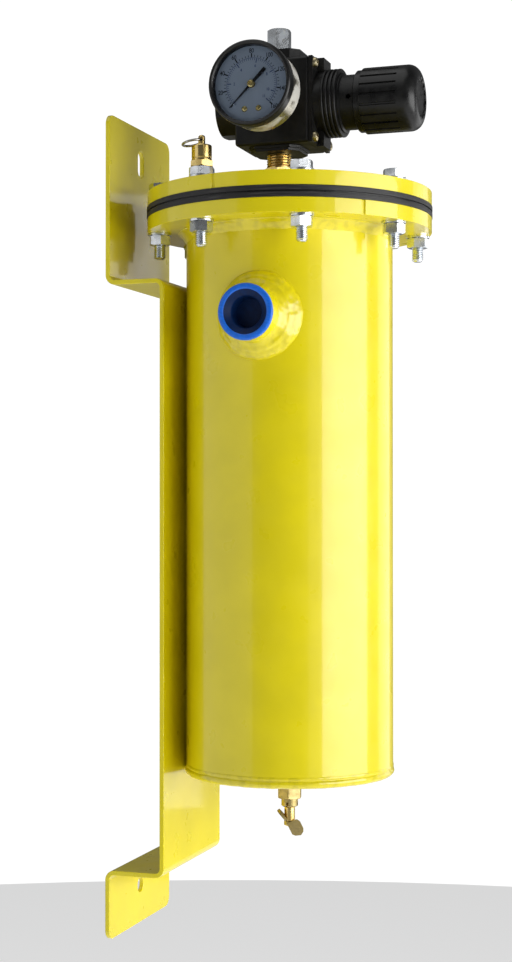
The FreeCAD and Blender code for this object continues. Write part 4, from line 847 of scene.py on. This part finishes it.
class AIRFILTER_OT_bolts(bpy.types.Operator):
    """Bolts, washers and nuts round the flange"""

    bl_idname = "airfilter.bolts"
    bl_label = "Flange bolts"

    def execute(self, context):
        seat = 398.2
        end = 351.8
        head = chamfered_hexagon("head", 13.0, seat, seat + 5.3, top=True, bottom=False)
        drilled(head, 4.6, seat + 4.9, seat + 6)
        shank = turned("shank", [(0, seat + 1), (4.0, seat + 1), (4.0, end + 15), (3.3, end + 14), (0, end + 14)], 40)
        thread = threaded_rod("thread", 4.0, 1.25, end, end + 14.6, 0.7)
        bolt = joined("bolt", [head, shank, thread])
        washer = turned("washer", [(4.05, 0), (8.0, 0), (8.0, 1.6), (4.05, 1.6)], 56, closed=True)
        soften(washer, 0.22)
        nut = chamfered_hexagon("nut", 13.0, 361.2, 368.0)
        drilled(nut, 4.05, 360, 369)
        soften(nut, 0.3, 1, 50)
        bolts, nuts, washers = [], [], []
        for index, (x, y) in enumerate(bolt_spots()):
            bolts.append(shifted(twin(bolt), x, y, 0, 17.0 * index + 5.0))
            nuts.append(shifted(twin(nut), x, y, 0, 23.0 * index + 8.0))
            washers.append(shifted(twin(washer), x, y, 396.6))
            washers.append(shifted(twin(washer), x, y, 368.0))
        for pattern in (bolt, nut, washer):
            bpy.data.objects.remove(pattern, do_unlink=True)
        for name, pieces, node in (("bolts", bolts, "flange_bolts"), ("nuts", nuts, "flange_nuts"),
                                   ("washers", washers, "flange_washers")):
            settle(joined(name, pieces), UPRIGHT, "bright_zinc", stands_for=(node,))
        return {"FINISHED"}


class AIRFILTER_OT_bracket(bpy.types.Operator):
    """Bent wall bracket and the stitches that hold the tube to it"""

    bl_idname = "airfilter.bracket"
    bl_label = "Wall bracket"

    def execute(self, context):
        dressed_copy("wall_bracket", "bracket", "yellow_enamel", "vessel", 0.55, segments=3)
        stitches = []
        for side in (-1, 1):
            for z in (52.0, 168.0, 284.0):
                bead = turned("stitch", [(0, -21), (1.6, -20), (2.3, -17), (2.4, 0), (2.3, 17), (1.6, 20), (0, 21)], 20)
                with Editing(bead):
                    bpy.ops.mesh.subdivide(number_cuts=3)
                add_lumps(bead, 1.6, 0.7)
                stitches.append(shifted(bead, side * 10.5, 70.2, z))
        settle(joined("bracket_welds", stitches), UPRIGHT, "weld_enamel", angle_deg=WELD_ANGLE)
        return {"FINISHED"}


class AIRFILTER_OT_inlet(bpy.types.Operator):
    """Welded inlet coupling, its weld and the plastic cap in it"""

    bl_idname = "airfilter.inlet"
    bl_label = "Inlet"

    def execute(self, context):
        coupling = turned("coupling", [
            (12.1, 66.0), (17.45, 66.0), (17.45, 92.2), (13.2, 92.2), (12.1, 91.1)], 96, closed=True)
        soften(coupling, 0.45, 2)
        settle(coupling, TO_INLET, "yellow_enamel", stands_for=("inlet_coupling",))
        self.build_weld()
        cap = turned("cap", [
            (0, 80.2), (11.2, 80.2), (12.05, 81.4), (12.05, 92.2), (18.3, 92.2), (18.3, 94.5), (17.8, 95.1),
            (17.0, 95.4), (15.4, 95.4), (14.9, 95.1), (10.9, 92.2), (10.35, 91.4), (10.2, 83.0), (9.6, 82.1), (0, 82.0)], 96)
        soften(cap, 0.3, 2)
        settle(cap, TO_INLET, "blue_moulding", "inlet_cap", ("inlet_cap",))
        # A thin lining just inside the cap's mouth and bore, carrying painted shade: it darkens the recess in place of
        # its shadow.
        shade_lining = turned("cap_hollow", [
            (0, 82.05), (9.55, 82.15), (10.12, 83.0), (10.28, 91.35), (10.84, 92.22), (14.45, 94.86), (14.38, 94.92),
            (10.78, 92.3), (10.2, 91.4), (10.04, 83.1), (9.5, 82.25), (0, 82.15)], 96)
        settle(shade_lining, TO_INLET, "blue_hollow", "inlet_cap")
        return {"FINISHED"}

    def build_weld(self):
        """A wide bead that runs down from the coupling onto the round of the tube."""
        profile = [(16.6, -3.0), (16.6, 10.4)]
        toes = ((17.4, 10.2), (18.9, 7.8), (21.0, 6.4), (23.2, 5.6), (24.6, 4.2), (26.4, 3.4), (28.2, 2.0), (29.2, 0.2))
        for (r0, z0), (r1, z1) in zip(toes, toes[1:]):
            profile += [(r0 + (r1 - r0) * k / 3, z0 + (z1 - z0) * k / 3) for k in range(3)]
        profile += [(29.2, 0.2), (29.3, -3.0)]
        bead = turned("inlet_weld", profile, 260, closed=True)
        saddled(bead, 70.65)
        add_lumps(bead, 6.0, 0.75, 1)
        settle(bead, TO_INLET, "weld_enamel", angle_deg=WELD_ANGLE)


# ------------------------------------------------------------------ operators: drain cock
class AIRFILTER_OT_drain(bpy.types.Operator):
    """Drain cock under the vessel"""

    bl_idname = "airfilter.drain"
    bl_label = "Drain cock"

    def execute(self, context):
        hexagon = chamfered_hexagon("drain_hex", 15.2, -16.2, -2.6, 12.0, top=False, bottom=True, edge=0.3)
        shoulder = turned("shoulder", [(0, -15), (5.7, -15), (5.7, -21.0), (5.1, -21.6), (0, -21.6)], 56)
        slots = [block("slot", (-8, -0.8, -23), (8, 0.8, -18.4)), block("slot", (-0.8, -8, -23), (0.8, 8, -18.4))]
        combine(shoulder, slots, "DIFFERENCE")
        drilled(shoulder, 2.65, -23, -17)
        soften(shoulder, 0.2, 2)
        thread = threaded_rod("drain_thread", 6.7, 1.25, -3.0, 8.6)
        body = joined("drain_cock", [hexagon, shoulder, thread])
        settle(body, UPRIGHT, "aged_brass", stands_for=("drain_body",))
        stem = turned("drain_stem", [
            (0, -9.0), (1.0, -10.0), (2.55, -13.0), (2.55, -21.9), (3.4, -21.9), (3.65, -22.2), (3.65, -31.2),
            (3.3, -31.6), (2.0, -31.6), (2.0, -34.4), (2.8, -34.4), (2.8, -34.8), (2.3, -35.2), (0, -35.2)], 56)
        soften(stem, 0.15, 2)
        settle(stem, UPRIGHT, "turned_brass", "drain_needle", ("drain_needle",))
        dressed_copy("drain_handle", "drain_wing", "aged_brass", "drain_handle", 0.35)
        return {"FINISHED"}


# ------------------------------------------------------------------ operators: regulator
class AIRFILTER_OT_regulator(bpy.types.Operator):
    """Cast regulator body with its two bosses and the octagonal cap behind"""

    bl_idname = "airfilter.regulator"
    bl_label = "Regulator body"

    def execute(self, context):
        low, high = REGULATOR_Z - 29.0, REGULATOR_Z + 29.0
        body = block("regulator", (-21.5, -20.0, low), (21.5, 32.4, high))
        soften(body, 2.0, 4)
        bosses = [
            self.boss("boss_low_edge", low - 1.7, low + 2.0, 0.0),
            self.boss("boss_low", low - 3.6, low - 1.2, -0.9),
            self.boss("boss_high", high - 2.0, high + 7.4, 0.0),
        ]
        gauge_boss = turned("gauge_boss", [(0, 18.0), (12.0, 18.0), (12.0, 22.3), (11.3, 23.0), (0, 23.0)], 64)
        crosswise(gauge_boss, "Y", -90)
        bosses.append(shifted(gauge_boss, 0, GAUGE_Y, REGULATOR_Z))
        combine(body, bosses, "UNION")
        soften(body, 0.35, 2, 35)
        settle(body, UPRIGHT, "black_casting", stands_for=("regulator_body",))
        cap = outline_plate("valve_cap", regular_outline(8, 36.6, 22.5), 30.0, 47.8)
        corner_r = 36.6 / 2 / math.cos(math.pi / 8)
        envelope = turned("envelope", [
            (0, 29), (corner_r + 1, 29), (corner_r + 1, 45.6), (corner_r - 1.6, 47.8), (0, 47.8)], 96)
        combine(cap, [envelope], "INTERSECT")
        dish = turned("dish", [(0, 46.6), (9.0, 46.6), (9.6, 48.5), (0, 48.5)], 64)
        combine(cap, [dish], "DIFFERENCE")
        soften(cap, 0.5, 2, 25)
        settle(cap, TO_CAP, "black_casting", stands_for=("valve_cap",))
        return {"FINISHED"}

    def boss(self, name, low, high, grow):
        xs, ys, cut = 17.0 + grow, 18.4 + grow, 6.0
        outline = [(xs, cut - ys), (xs, ys - cut), (xs - cut, ys), (cut - xs, ys),
                   (-xs, ys - cut), (-xs, cut - ys), (cut - xs, -ys), (xs - cut, -ys)]
        return outline_plate(name, [(x, y + PORT_Y) for x, y in outline], low, high)


class AIRFILTER_OT_bonnet(bpy.types.Operator):
    """Ridged spring cover with its screws"""

    bl_idname = "airfilter.bonnet"
    bl_label = "Bonnet"

    def execute(self, context):
        plate = block("plate", (-21.5, -29.0, 20.05), (21.5, 29.0, 22.8))
        ears = block("ears", (-8.5, -30.0, 22.0), (8.5, 30.0, 27.2))
        barrel = turned("barrel", self.profile(), 120)
        bonnet = combine(plate, [ears, barrel], "UNION")
        seats = []
        for x, y in self.screw_spots():
            seats.append(shifted(turned("seat", [(0, 22.8), (3.9, 22.8), (3.9, 60), (0, 60)], 40), x, y))
        for side in (-1, 1):
            vent = crosswise(turned("vent", [(0, 10), (1.75, 10), (1.75, 25), (0, 25)], 32), "Y", 90 * side)
            seats.append(shifted(vent, 0, 0, 46.9))
        combine(bonnet, seats, "DIFFERENCE")
        soften(bonnet, 0.35, 2, 35)
        settle(bonnet, TO_KNOB, "black_casting", stands_for=("bonnet",))
        screw = turned("bonnet_screw", [
            (0, 22.0), (3.4, 22.8), (3.4, 24.0), (3.0, 24.9), (2.1, 25.35), (0, 25.5)], 40)
        slots = [block("slot", (-2.2, -0.45, 24.1), (2.2, 0.45, 27)), block("slot", (-0.45, -2.2, 24.1), (0.45, 2.2, 27))]
        combine(screw, slots, "DIFFERENCE")
        soften(screw, 0.1, 1, 40)
        screws = [shifted(twin(screw), x, y, 0, 25.0 * k) for k, (x, y) in enumerate(self.screw_spots())]
        bpy.data.objects.remove(screw, do_unlink=True)
        settle(joined("bonnet_screw_set", screws), TO_KNOB, "yellow_zinc",
               stands_for=("bonnet_screws",))
        return {"FINISHED"}

    def screw_spots(self):
        return [(side_x * 17.0, side_y * 25.0) for side_x in (-1, 1) for side_y in (-1, 1)]

    def profile(self):
        """Ridges with rounded crowns, then a collar and the plain neck."""
        start, end, count, floor_r, crown_r = 27.2, 38.8, 4, 21.7, 23.0
        pitch = (end - start) / count
        points = [(0, 21.0), (floor_r, 21.0), (floor_r, start)]
        for k in range(count):
            base = start + k * pitch
            points += [(floor_r, base + 0.22 * pitch), (crown_r - 0.35, base + 0.30 * pitch),
                       (crown_r, base + 0.44 * pitch), (crown_r, base + 0.80 * pitch),
                       (crown_r - 0.35, base + 0.93 * pitch), (floor_r, base + pitch)]
        points += [(20.1, end), (20.1, end + 1.0), (18.5, end + 1.6), (18.5, 61.6), (17.5, 63.0), (0, 63.0)]
        return points


class AIRFILTER_OT_knob(bpy.types.Operator):
    """Grooved pull-up knob"""

    bl_idname = "airfilter.knob"
    bl_label = "Knob"

    def execute(self, context):
        end, grip_r, edge_r = 92.8, 22.1, 8.0
        profile = [(18.85, 50.0), (20.2, 50.0), (20.8, 50.6), (20.8, 54.2), (21.5, 54.4), (22.0, 54.7), (grip_r, 55.2)]
        for k in range(15):
            angle = math.radians(90.0 * k / 14)
            profile.append((grip_r - edge_r + edge_r * math.cos(angle), end - edge_r + edge_r * math.sin(angle)))
        profile += [(13.4, 92.8), (12.2, 92.5), (11.9, 91.8), (11.2, 91.65), (0, 91.65), (0, 85.8), (18.85, 85.8)]
        knob = turned("knob_grip", profile, 160, closed=True)
        tools = []
        count = settings().knob_grooves
        outline = [(grip_r - 1.1, -0.5), (grip_r - 1.1, 0.5), (grip_r + 0.9, 1.25), (grip_r + 0.9, -1.25)]
        for k in range(count):
            tool = outline_plate("groove", outline, 54.9, 80.0)
            tools.append(shifted(tool, turn_deg=360.0 * k / count))
        combine(knob, [joined("grooves", tools)], "DIFFERENCE")
        scallops = []
        for k in range(14):
            tool = turned("scallop", [(0, 91.9), (1.5, 91.9), (1.9, 94), (0, 94)], 20)
            angle = FULL_TURN * k / 14
            scallops.append(shifted(tool, 12.4 * math.cos(angle), 12.4 * math.sin(angle)))
        combine(knob, [joined("scallops", scallops)], "DIFFERENCE")
        soften(knob, 0.22, 2, 38)
        settle(knob, TO_KNOB, "black_moulding", "knob", ("knob",))
        return {"FINISHED"}


class AIRFILTER_OT_fittings(bpy.types.Operator):
    """Brass nipple under the regulator and the plated fitting on top"""

    bl_idname = "airfilter.fittings"
    bl_label = "Nipple and outlet fitting"

    def execute(self, context):
        hexagon = chamfered_hexagon("nipple_hex", 19.0, 399.0, 415.5, 10.0, edge=0.25)
        upper = threaded_rod("nipple_thread_high", 8.65, 1.8, 414.8, 436.0)
        lower = threaded_rod("nipple_thread_low", 8.65, 1.8, 387.6, 399.6)
        nipple = shifted(joined("nipple", [hexagon, upper, lower]), 0, PORT_Y)
        settle(nipple, UPRIGHT, "turned_brass", stands_for=("regulator_nipple",))
        low, high = 494.0, 511.0
        fitting = chamfered_hexagon("outlet", 14.8, low, high, 3.0, top=True, bottom=False, edge=0.35)
        drilled(fitting, 4.35, high - 12.0, high + 1)
        soften(fitting, 0.25, 2, 50)
        shifted(fitting, 0, PORT_Y)
        settle(fitting, UPRIGHT, "bright_zinc", stands_for=("outlet_fitting",))
        return {"FINISHED"}


# ------------------------------------------------------------------ operators: gauge
class AIRFILTER_OT_gauge(bpy.types.Operator):
    """Gauge case, bezel, lens and stem"""

    bl_idname = "airfilter.gauge"
    bl_label = "Gauge case"

    def execute(self, context):
        case = turned("gauge_shell", [
            (4.9, 48.0), (24.1, 48.0), (25.3, 48.35), (26.2, 49.2), (26.6, 50.5), (26.6, 74.2), (25.8, 74.2),
            (25.8, 49.4), (25.0, 48.8), (4.9, 48.8)], 128, closed=True)
        soften(case, 0.12, 1)
        settle(case, TO_GAUGE, "plated_case", stands_for=("gauge_case",))
        bezel = turned("bezel", [
            (26.6, 68.6), (27.6, 68.6), (28.0, 69.1), (28.0, 75.4), (27.75, 76.3), (27.1, 77.0), (26.4, 77.2),
            (25.9, 77.05), (25.4, 76.6), (24.9, 75.6), (26.6, 75.6)], 144, closed=True)
        settle(bezel, TO_GAUGE, "black_enamel", stands_for=("gauge_bezel",))
        inner = turned("bezel_liner", [(25.75, 71.25), (25.75, 74.15), (25.2, 74.15), (24.9, 71.25)], 128, closed=True)
        settle(inner, TO_GAUGE, "black_enamel")
        lens = turned("lens", [(0, 74.2), (26.55, 74.2), (26.55, 75.55), (0, 75.6)], 128)
        soften(lens, 0.1, 1)
        settle(lens, TO_GAUGE, "clear_lens", stands_for=("gauge_window",))
        hexagon = chamfered_hexagon("gauge_hex", 14.0, 24.5, 44.0, 15.0)
        collar = turned("gauge_collar", [(0, 43), (4.9, 43), (4.9, 58), (0, 58)], 56)
        thread = threaded_rod("gauge_thread", 6.55, 1.4, 13.0, 25.0)
        stem = joined("gauge_stem", [hexagon, collar, thread])
        settle(stem, TO_GAUGE, "turned_brass", stands_for=("gauge_socket",))
        return {"FINISHED"}


class AIRFILTER_OT_dial(bpy.types.Operator):
    """Dial with its printed scales, screws, hub and pointer"""

    bl_idname = "airfilter.dial"
    bl_label = "Dial"

    face = 71.2
    sweep = 270.0

    def execute(self, context):
        dressed_copy("gauge_dial", "dial", "dial_white", "vessel", 0.0)
        black, blue = [], []
        for k in range(9):
            angle = -135 + k * 33.75
            if k:
                black.append(self.numeral(str(20 * k), angle, 21.7, settings().numeral_size))
            black.append(self.tick(angle, 17.4, 20.2, 0.85))
        for k in range(41):
            black.append(self.tick(-135 + k * 6.75, 17.6, 18.9, 0.38))
        units = 11.0
        for k in range(56):
            blue.append(self.tick(-135 + k * self.sweep / 55, 15.5, 16.8, 0.28))
        for unit in (2, 4, 6, 8, 10, 11):
            angle = -135 + unit * self.sweep / units
            blue.append(self.numeral(str(unit), angle, 11.9, settings().numeral_size * 0.66))
            blue.append(self.tick(angle, 14.0, 16.8, 0.6))
        arc = turned("scale_arc", [(16.95, self.face + 0.005), (17.2, self.face + 0.005), (17.2, self.face + 0.03),
                                   (16.95, self.face + 0.03)], 160, closed=True)
        blue.append(self.cut_gap(arc))
        settle(joined("black_scale", black), TO_GAUGE, "black_ink")
        settle(joined("blue_scale", blue), TO_GAUGE, "blue_ink")
        self.screws()
        dressed_copy("gauge_pointer", "pointer_blade", "black_enamel", "pointer", 0.06)
        hub = turned("hub_cap", [
            (0, 72.6), (2.5, 72.7), (2.5, 73.2), (2.25, 73.6), (1.7, 73.85), (1.5, 73.9), (1.4, 73.55), (0, 73.5)], 48)
        slot = block("slot", (-1.3, -0.28, 73.1), (1.3, 0.28, 74.5))
        combine(hub, [crosswise(slot, "Z", 40)], "DIFFERENCE")
        arbor = turned("arbor", [(0, 58.2), (0.8, 58.2), (0.8, 72.7), (0, 72.7)], 24)
        settle(joined("hub", [hub, arbor]), TO_GAUGE, "turned_brass", "pointer", ("pointer_hub",))
        dressed_copy("zero_pin", "rest_pin", "bright_zinc", "vessel", 0.12)
        return {"FINISHED"}

    def tick(self, angle_deg, inner, outer, width):
        """A printed stroke across the scale, measured clockwise from the top."""
        stroke = block("tick", (-width / 2, inner, self.face + 0.005), (width / 2, outer, self.face + 0.03))
        return shifted(stroke, turn_deg=-angle_deg)

    def numeral(self, text, angle_deg, radius, size):
        """Upright figures centred at their place on the dial."""
        deselect_all()
        bpy.ops.object.text_add()
        label = bpy.context.object
        label.data.body = text
        label.data.size = size
        label.data.align_x = "CENTER"
        label.data.align_y = "CENTER"
        label.data.offset = 0.055
        label.data.extrude = 0.012
        label.data.resolution_u = 3
        label.data.space_character = 0.95
        bpy.ops.object.convert(target="MESH")
        label = bpy.context.object
        angle = math.radians(angle_deg)
        placed(label, Matrix.Diagonal((0.85, 1.0, 1.0, 1.0)))
        return shifted(label, radius * math.sin(angle), radius * math.cos(angle), self.face + 0.018)

    def cut_gap(self, arc):
        """Leaves the scale's ring open at the bottom."""
        wedge = outline_plate("wedge", [(0, 0), (-30, -30), (30, -30)], self.face - 1, self.face + 1)
        return combine(arc, [wedge], "DIFFERENCE")

    def screws(self):
        seat = self.face
        heads = []
        for side in (-1, 1):
            head = turned("dial_screw", [
                (0, seat), (1.95, seat), (1.95, seat + 0.35), (1.7, seat + 0.8), (1.2, seat + 1.08), (0, seat + 1.2)], 40)
            slot = block("slot", (-2.2, -0.22, seat + 0.75), (2.2, 0.22, seat + 2))
            combine(head, [crosswise(slot, "Z", 35 + 40 * side)], "DIFFERENCE")
            heads.append(shifted(head, side * 4.8, -15.9))
        settle(joined("dial_screw_set", heads), TO_GAUGE, "turned_brass", stands_for=("dial_screws",))


# ------------------------------------------------------------------ operators: relief valve
class AIRFILTER_OT_relief(bpy.types.Operator):
    """Pop-off relief valve with its pull ring"""

    bl_idname = "airfilter.relief"
    bl_label = "Relief valve"

    def execute(self, context):
        coupling = chamfered_hexagon("relief_hex", 16.1, 397.6, 415.7, 8.0, edge=0.3)
        thread = threaded_rod("relief_thread", 5.1, 1.0, 390.0, 398.4)
        coupling = shifted(joined("relief_base", [coupling, thread]), RELIEF_X, RELIEF_Y)
        settle(coupling, UPRIGHT, "bright_zinc", stands_for=("relief_coupling",))
        hexagon = chamfered_hexagon("valve_hex", 15.0, 415.7, 420.2, 20.0, edge=0.3)
        barrel = turned("valve_barrel", [
            (0, 419.0), (6.95, 419.0), (6.95, 421.6), (6.75, 421.8), (6.75, 422.2), (6.95, 422.4), (6.95, 430.2),
            (6.6, 430.8), (6.1, 431.0), (2.7, 431.0), (2.45, 430.7), (2.45, 426.0), (0, 426.0)], 72)
        soften(barrel, 0.12, 1)
        drilled(hexagon, RELIEF_CAVITY_R, 417.2, 421.0)
        drilled(barrel, RELIEF_CAVITY_R, 418.0, 429.4)
        body = shifted(joined("relief_barrel", [hexagon, barrel]), RELIEF_X, RELIEF_Y)
        settle(body, UPRIGHT, "turned_brass", stands_for=("relief_body",))
        stem = turned("relief_pin", [
            (0, 418.0), (2.4, 418.0), (2.4, 436.4), (2.2, 437.1), (1.7, 437.7), (0.9, 438.0), (0, 438.0)], 48)
        eye = crosswise(turned("eye", [(0, -5), (1.35, -5), (1.35, 5), (0, 5)], 32), "Y", 90)
        combine(stem, [shifted(eye, 0, 0, 434.6)], "DIFFERENCE")
        soften(stem, 0.18, 2, 40)
        settle(shifted(stem, RELIEF_X, RELIEF_Y), UPRIGHT, "turned_brass", "relief_stem", ("relief_stem",))
        dressed_copy("relief_ring", "pull_ring", "spring_wire", "relief_ring", 0.0, 40)
        return {"FINISHED"}


# ------------------------------------------------------------------ operators: what stays as packed
INNER_FINISHES = {
    "yellow_enamel": ("drain_bung",),
    "plain_steel": ("inlet_baffle", "cartridge_core", "cartridge_top_cap", "cartridge_bottom_cap",
                    "adjusting_screw", "spring_nut", "diaphragm_plate"),
    "bright_zinc": ("tie_rod", "tie_rod_nut", "tie_rod_bridge"),
    "black_enamel": ("carrier_plate",),
    "filter_paper": ("cartridge_media",),
    "black_rubber": ("cartridge_seal", "diaphragm", "cap_o_ring", "relief_seal"),
    "turned_brass": ("gauge_movement", "gauge_sector", "valve_seat", "poppet", "bourdon_tube"),
}

COILS = (
    ("regulating_spring", "main_coil", "spring_nut_travel", (0, 1, 0), 10.1 * MM),
    ("poppet_spring", "poppet_coil", "valve_stroke", (0, 1, 0), 1.5 * MM),
    ("relief_spring", "relief_coil", "relief_lift", (0, 0, 1), 3.0 * MM),
)


class AIRFILTER_OT_inner(bpy.types.Operator):
    """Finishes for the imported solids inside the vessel, the regulator and the gauge"""

    bl_idname = "airfilter.inner"
    bl_label = "Inner parts"

    def execute(self, context):
        for name, nodes in INNER_FINISHES.items():
            for node in nodes:
                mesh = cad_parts[node].data
                mesh.materials.clear()
                mesh.materials.append(finish(name))
        self.build_coils()
        return {"FINISHED"}

    def build_coils(self):
        """Springs copied from the imported coils with their finish on, each with a mesh of its own."""
        for node, name, joint, axis, travel in COILS:
            coil = dressed_copy(node, name, "spring_wire", "vessel", 0.0, 40)
            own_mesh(coil)


# ------------------------------------------------------------------ operators: stage
CAMERA_PLACE = Vector((-1.13102, -0.46781, 0.27116))
CAMERA_SIDE_DEG = -72.592
CAMERA_TOE_DEG = 1.112
CAMERA_PITCH_DEG = 0.603
CAMERA_ROLL_DEG = -0.016
CAMERA_LENS = 64.68


class AIRFILTER_OT_stage(bpy.types.Operator):
    """Pale floor, studio lights and the camera"""

    bl_idname = "airfilter.stage"
    bl_label = "Stage"

    def execute(self, context):
        self.build_floor()
        self.build_world(context.scene)
        self.build_camera(context.scene)
        centre = Vector((0, AXIS_Y, 0.27))
        power = stage_settings().key_power
        self.soft_light("key", centre, 64.0, 0.0, 1.7, 1.88, 1.1, power)
        self.soft_light("strip", centre, 23.5, 0.0, 1.7, 0.21, 1.1, power * 0.0125)
        self.soft_light("fill", centre, -76.0, 0.0, 1.9, 2.7, 1.5, power * 0.27)
        self.soft_light("rear", centre, 129.0, 0.0, 1.8, 1.0, 1.1, power * 0.15)
        self.soft_light("top", centre, -60.0, 70.0, 2.0, 1.8, 1.8, power * 0.30)
        return {"FINISHED"}

    def build_floor(self):
        low = CAD_BOX[0].z - stage_settings().floor_drop
        deselect_all()
        bpy.ops.mesh.primitive_circle_add(vertices=128, radius=4.0, fill_type="NGON", location=(0, 0, low))
        floor = bpy.context.object
        floor.name = "floor"
        bpy.ops.object.transform_apply(location=True, rotation=True, scale=True)
        floor.data.materials.append(finish("pale_floor"))

    def build_world(self, scene):
        """White seen directly, and a dimmer room for everything that it lights."""
        world = bpy.data.worlds.new("studio")
        scene.world = world
        world.use_nodes = True
        tree = world.node_tree
        tree.nodes.clear()
        seen = tree.nodes.new("ShaderNodeBackground")
        seen.inputs["Color"].default_value = (1, 1, 1, 1)
        seen.inputs["Strength"].default_value = 1.05
        room = tree.nodes.new("ShaderNodeBackground")
        room.inputs["Color"].default_value = (0.98, 0.99, 1.0, 1)
        room.inputs["Strength"].default_value = stage_settings().surround
        path = tree.nodes.new("ShaderNodeLightPath")
        choose = tree.nodes.new("ShaderNodeMixShader")
        out = tree.nodes.new("ShaderNodeOutputWorld")
        tree.links.new(path.outputs["Is Camera Ray"], choose.inputs[0])
        tree.links.new(room.outputs[0], choose.inputs[1])
        tree.links.new(seen.outputs[0], choose.inputs[2])
        tree.links.new(choose.outputs[0], out.inputs["Surface"])
        scene.view_settings.view_transform = "Standard"

    def build_camera(self, scene):
        side = math.radians(CAMERA_SIDE_DEG)
        back = Vector((math.sin(side), -math.cos(side), 0))
        toe = Matrix.Rotation(math.radians(CAMERA_TOE_DEG), 3, "Z")
        forward = toe @ (-back)
        pitch = math.radians(CAMERA_PITCH_DEG)
        forward = forward * math.cos(pitch) + Vector((0, 0, 1)) * math.sin(pitch)
        right = forward.cross(Vector((0, 0, 1))).normalized()
        up = right.cross(forward).normalized()
        roll = math.radians(CAMERA_ROLL_DEG)
        right, up = right * math.cos(roll) + up * math.sin(roll), up * math.cos(roll) - right * math.sin(roll)
        data = bpy.data.cameras.new("camera")
        data.lens = CAMERA_LENS
        data.sensor_width = 36.0
        data.sensor_fit = "AUTO"
        data.clip_start = 0.01
        data.clip_end = 100.0
        camera = bpy.data.objects.new("camera", data)
        scene.collection.objects.link(camera)
        camera.matrix_world = Matrix.Translation(CAMERA_PLACE) @ Matrix((right, up, -forward)).transposed().to_4x4()
        scene.camera = camera

    def soft_light(self, name, centre, right_deg, up_deg, distance, width, height, power):
        """A rectangular light; right_deg is measured from the camera's side towards its right."""
        side = math.radians(CAMERA_SIDE_DEG)
        back = Vector((math.sin(side), -math.cos(side), 0))
        turned_back = Matrix.Rotation(math.radians(right_deg), 3, "Z") @ back
        up = math.radians(up_deg)
        aim = turned_back * math.cos(up) + Vector((0, 0, math.sin(up)))
        data = bpy.data.lights.new(name, "AREA")
        data.shape = "RECTANGLE"
        data.size = width
        data.size_y = height
        data.energy = power
        light = bpy.data.objects.new(name, data)
        bpy.context.collection.objects.link(light)
        light.matrix_world = Matrix.Translation(centre + aim * distance) @ aim.to_track_quat("Z", "Y").to_matrix().to_4x4()


# ------------------------------------------------------------------ panel and registration
PIECE_OPERATORS = (
    AIRFILTER_OT_inner, AIRFILTER_OT_tube, AIRFILTER_OT_plates, AIRFILTER_OT_bolts, AIRFILTER_OT_bracket,
    AIRFILTER_OT_inlet, AIRFILTER_OT_drain, AIRFILTER_OT_regulator, AIRFILTER_OT_bonnet, AIRFILTER_OT_knob,
    AIRFILTER_OT_fittings, AIRFILTER_OT_gauge, AIRFILTER_OT_dial, AIRFILTER_OT_relief, AIRFILTER_OT_stage,
)


class AIRFILTER_PT_panel(bpy.types.Panel):
    """Lists the pieces of the air filter and the sizes behind them"""

    bl_idname = "AIRFILTER_PT_panel"
    bl_label = "Compressed air filter"
    bl_space_type = "VIEW_3D"
    bl_region_type = "UI"
    bl_category = "Air filter"

    def draw(self, context):
        layout = self.layout
        for group in (context.scene.air_filter, context.scene.air_filter_stage):
            for name in group.__annotations__:
                layout.prop(group, name)
        for operator in PIECE_OPERATORS:
            layout.operator(operator.bl_idname)


CLASSES = (AirFilterSettings, AirFilterStageSettings) + PIECE_OPERATORS + (AIRFILTER_PT_panel,)


def register():
    for cls in CLASSES:
        bpy.utils.register_class(cls)
    bpy.types.Scene.air_filter = PointerProperty(type=AirFilterSettings)
    bpy.types.Scene.air_filter_stage = PointerProperty(type=AirFilterStageSettings)


def unregister():
    del bpy.types.Scene.air_filter_stage
    del bpy.types.Scene.air_filter
    for cls in reversed(CLASSES):
        bpy.utils.unregister_class(cls)


def main():
    register()
    deselect_all()
    for operator in PIECE_OPERATORS:
        group, call = operator.bl_idname.split(".")
        getattr(getattr(bpy.ops, group), call)()
    deselect_all()


if __name__ == "__main__":
    main()
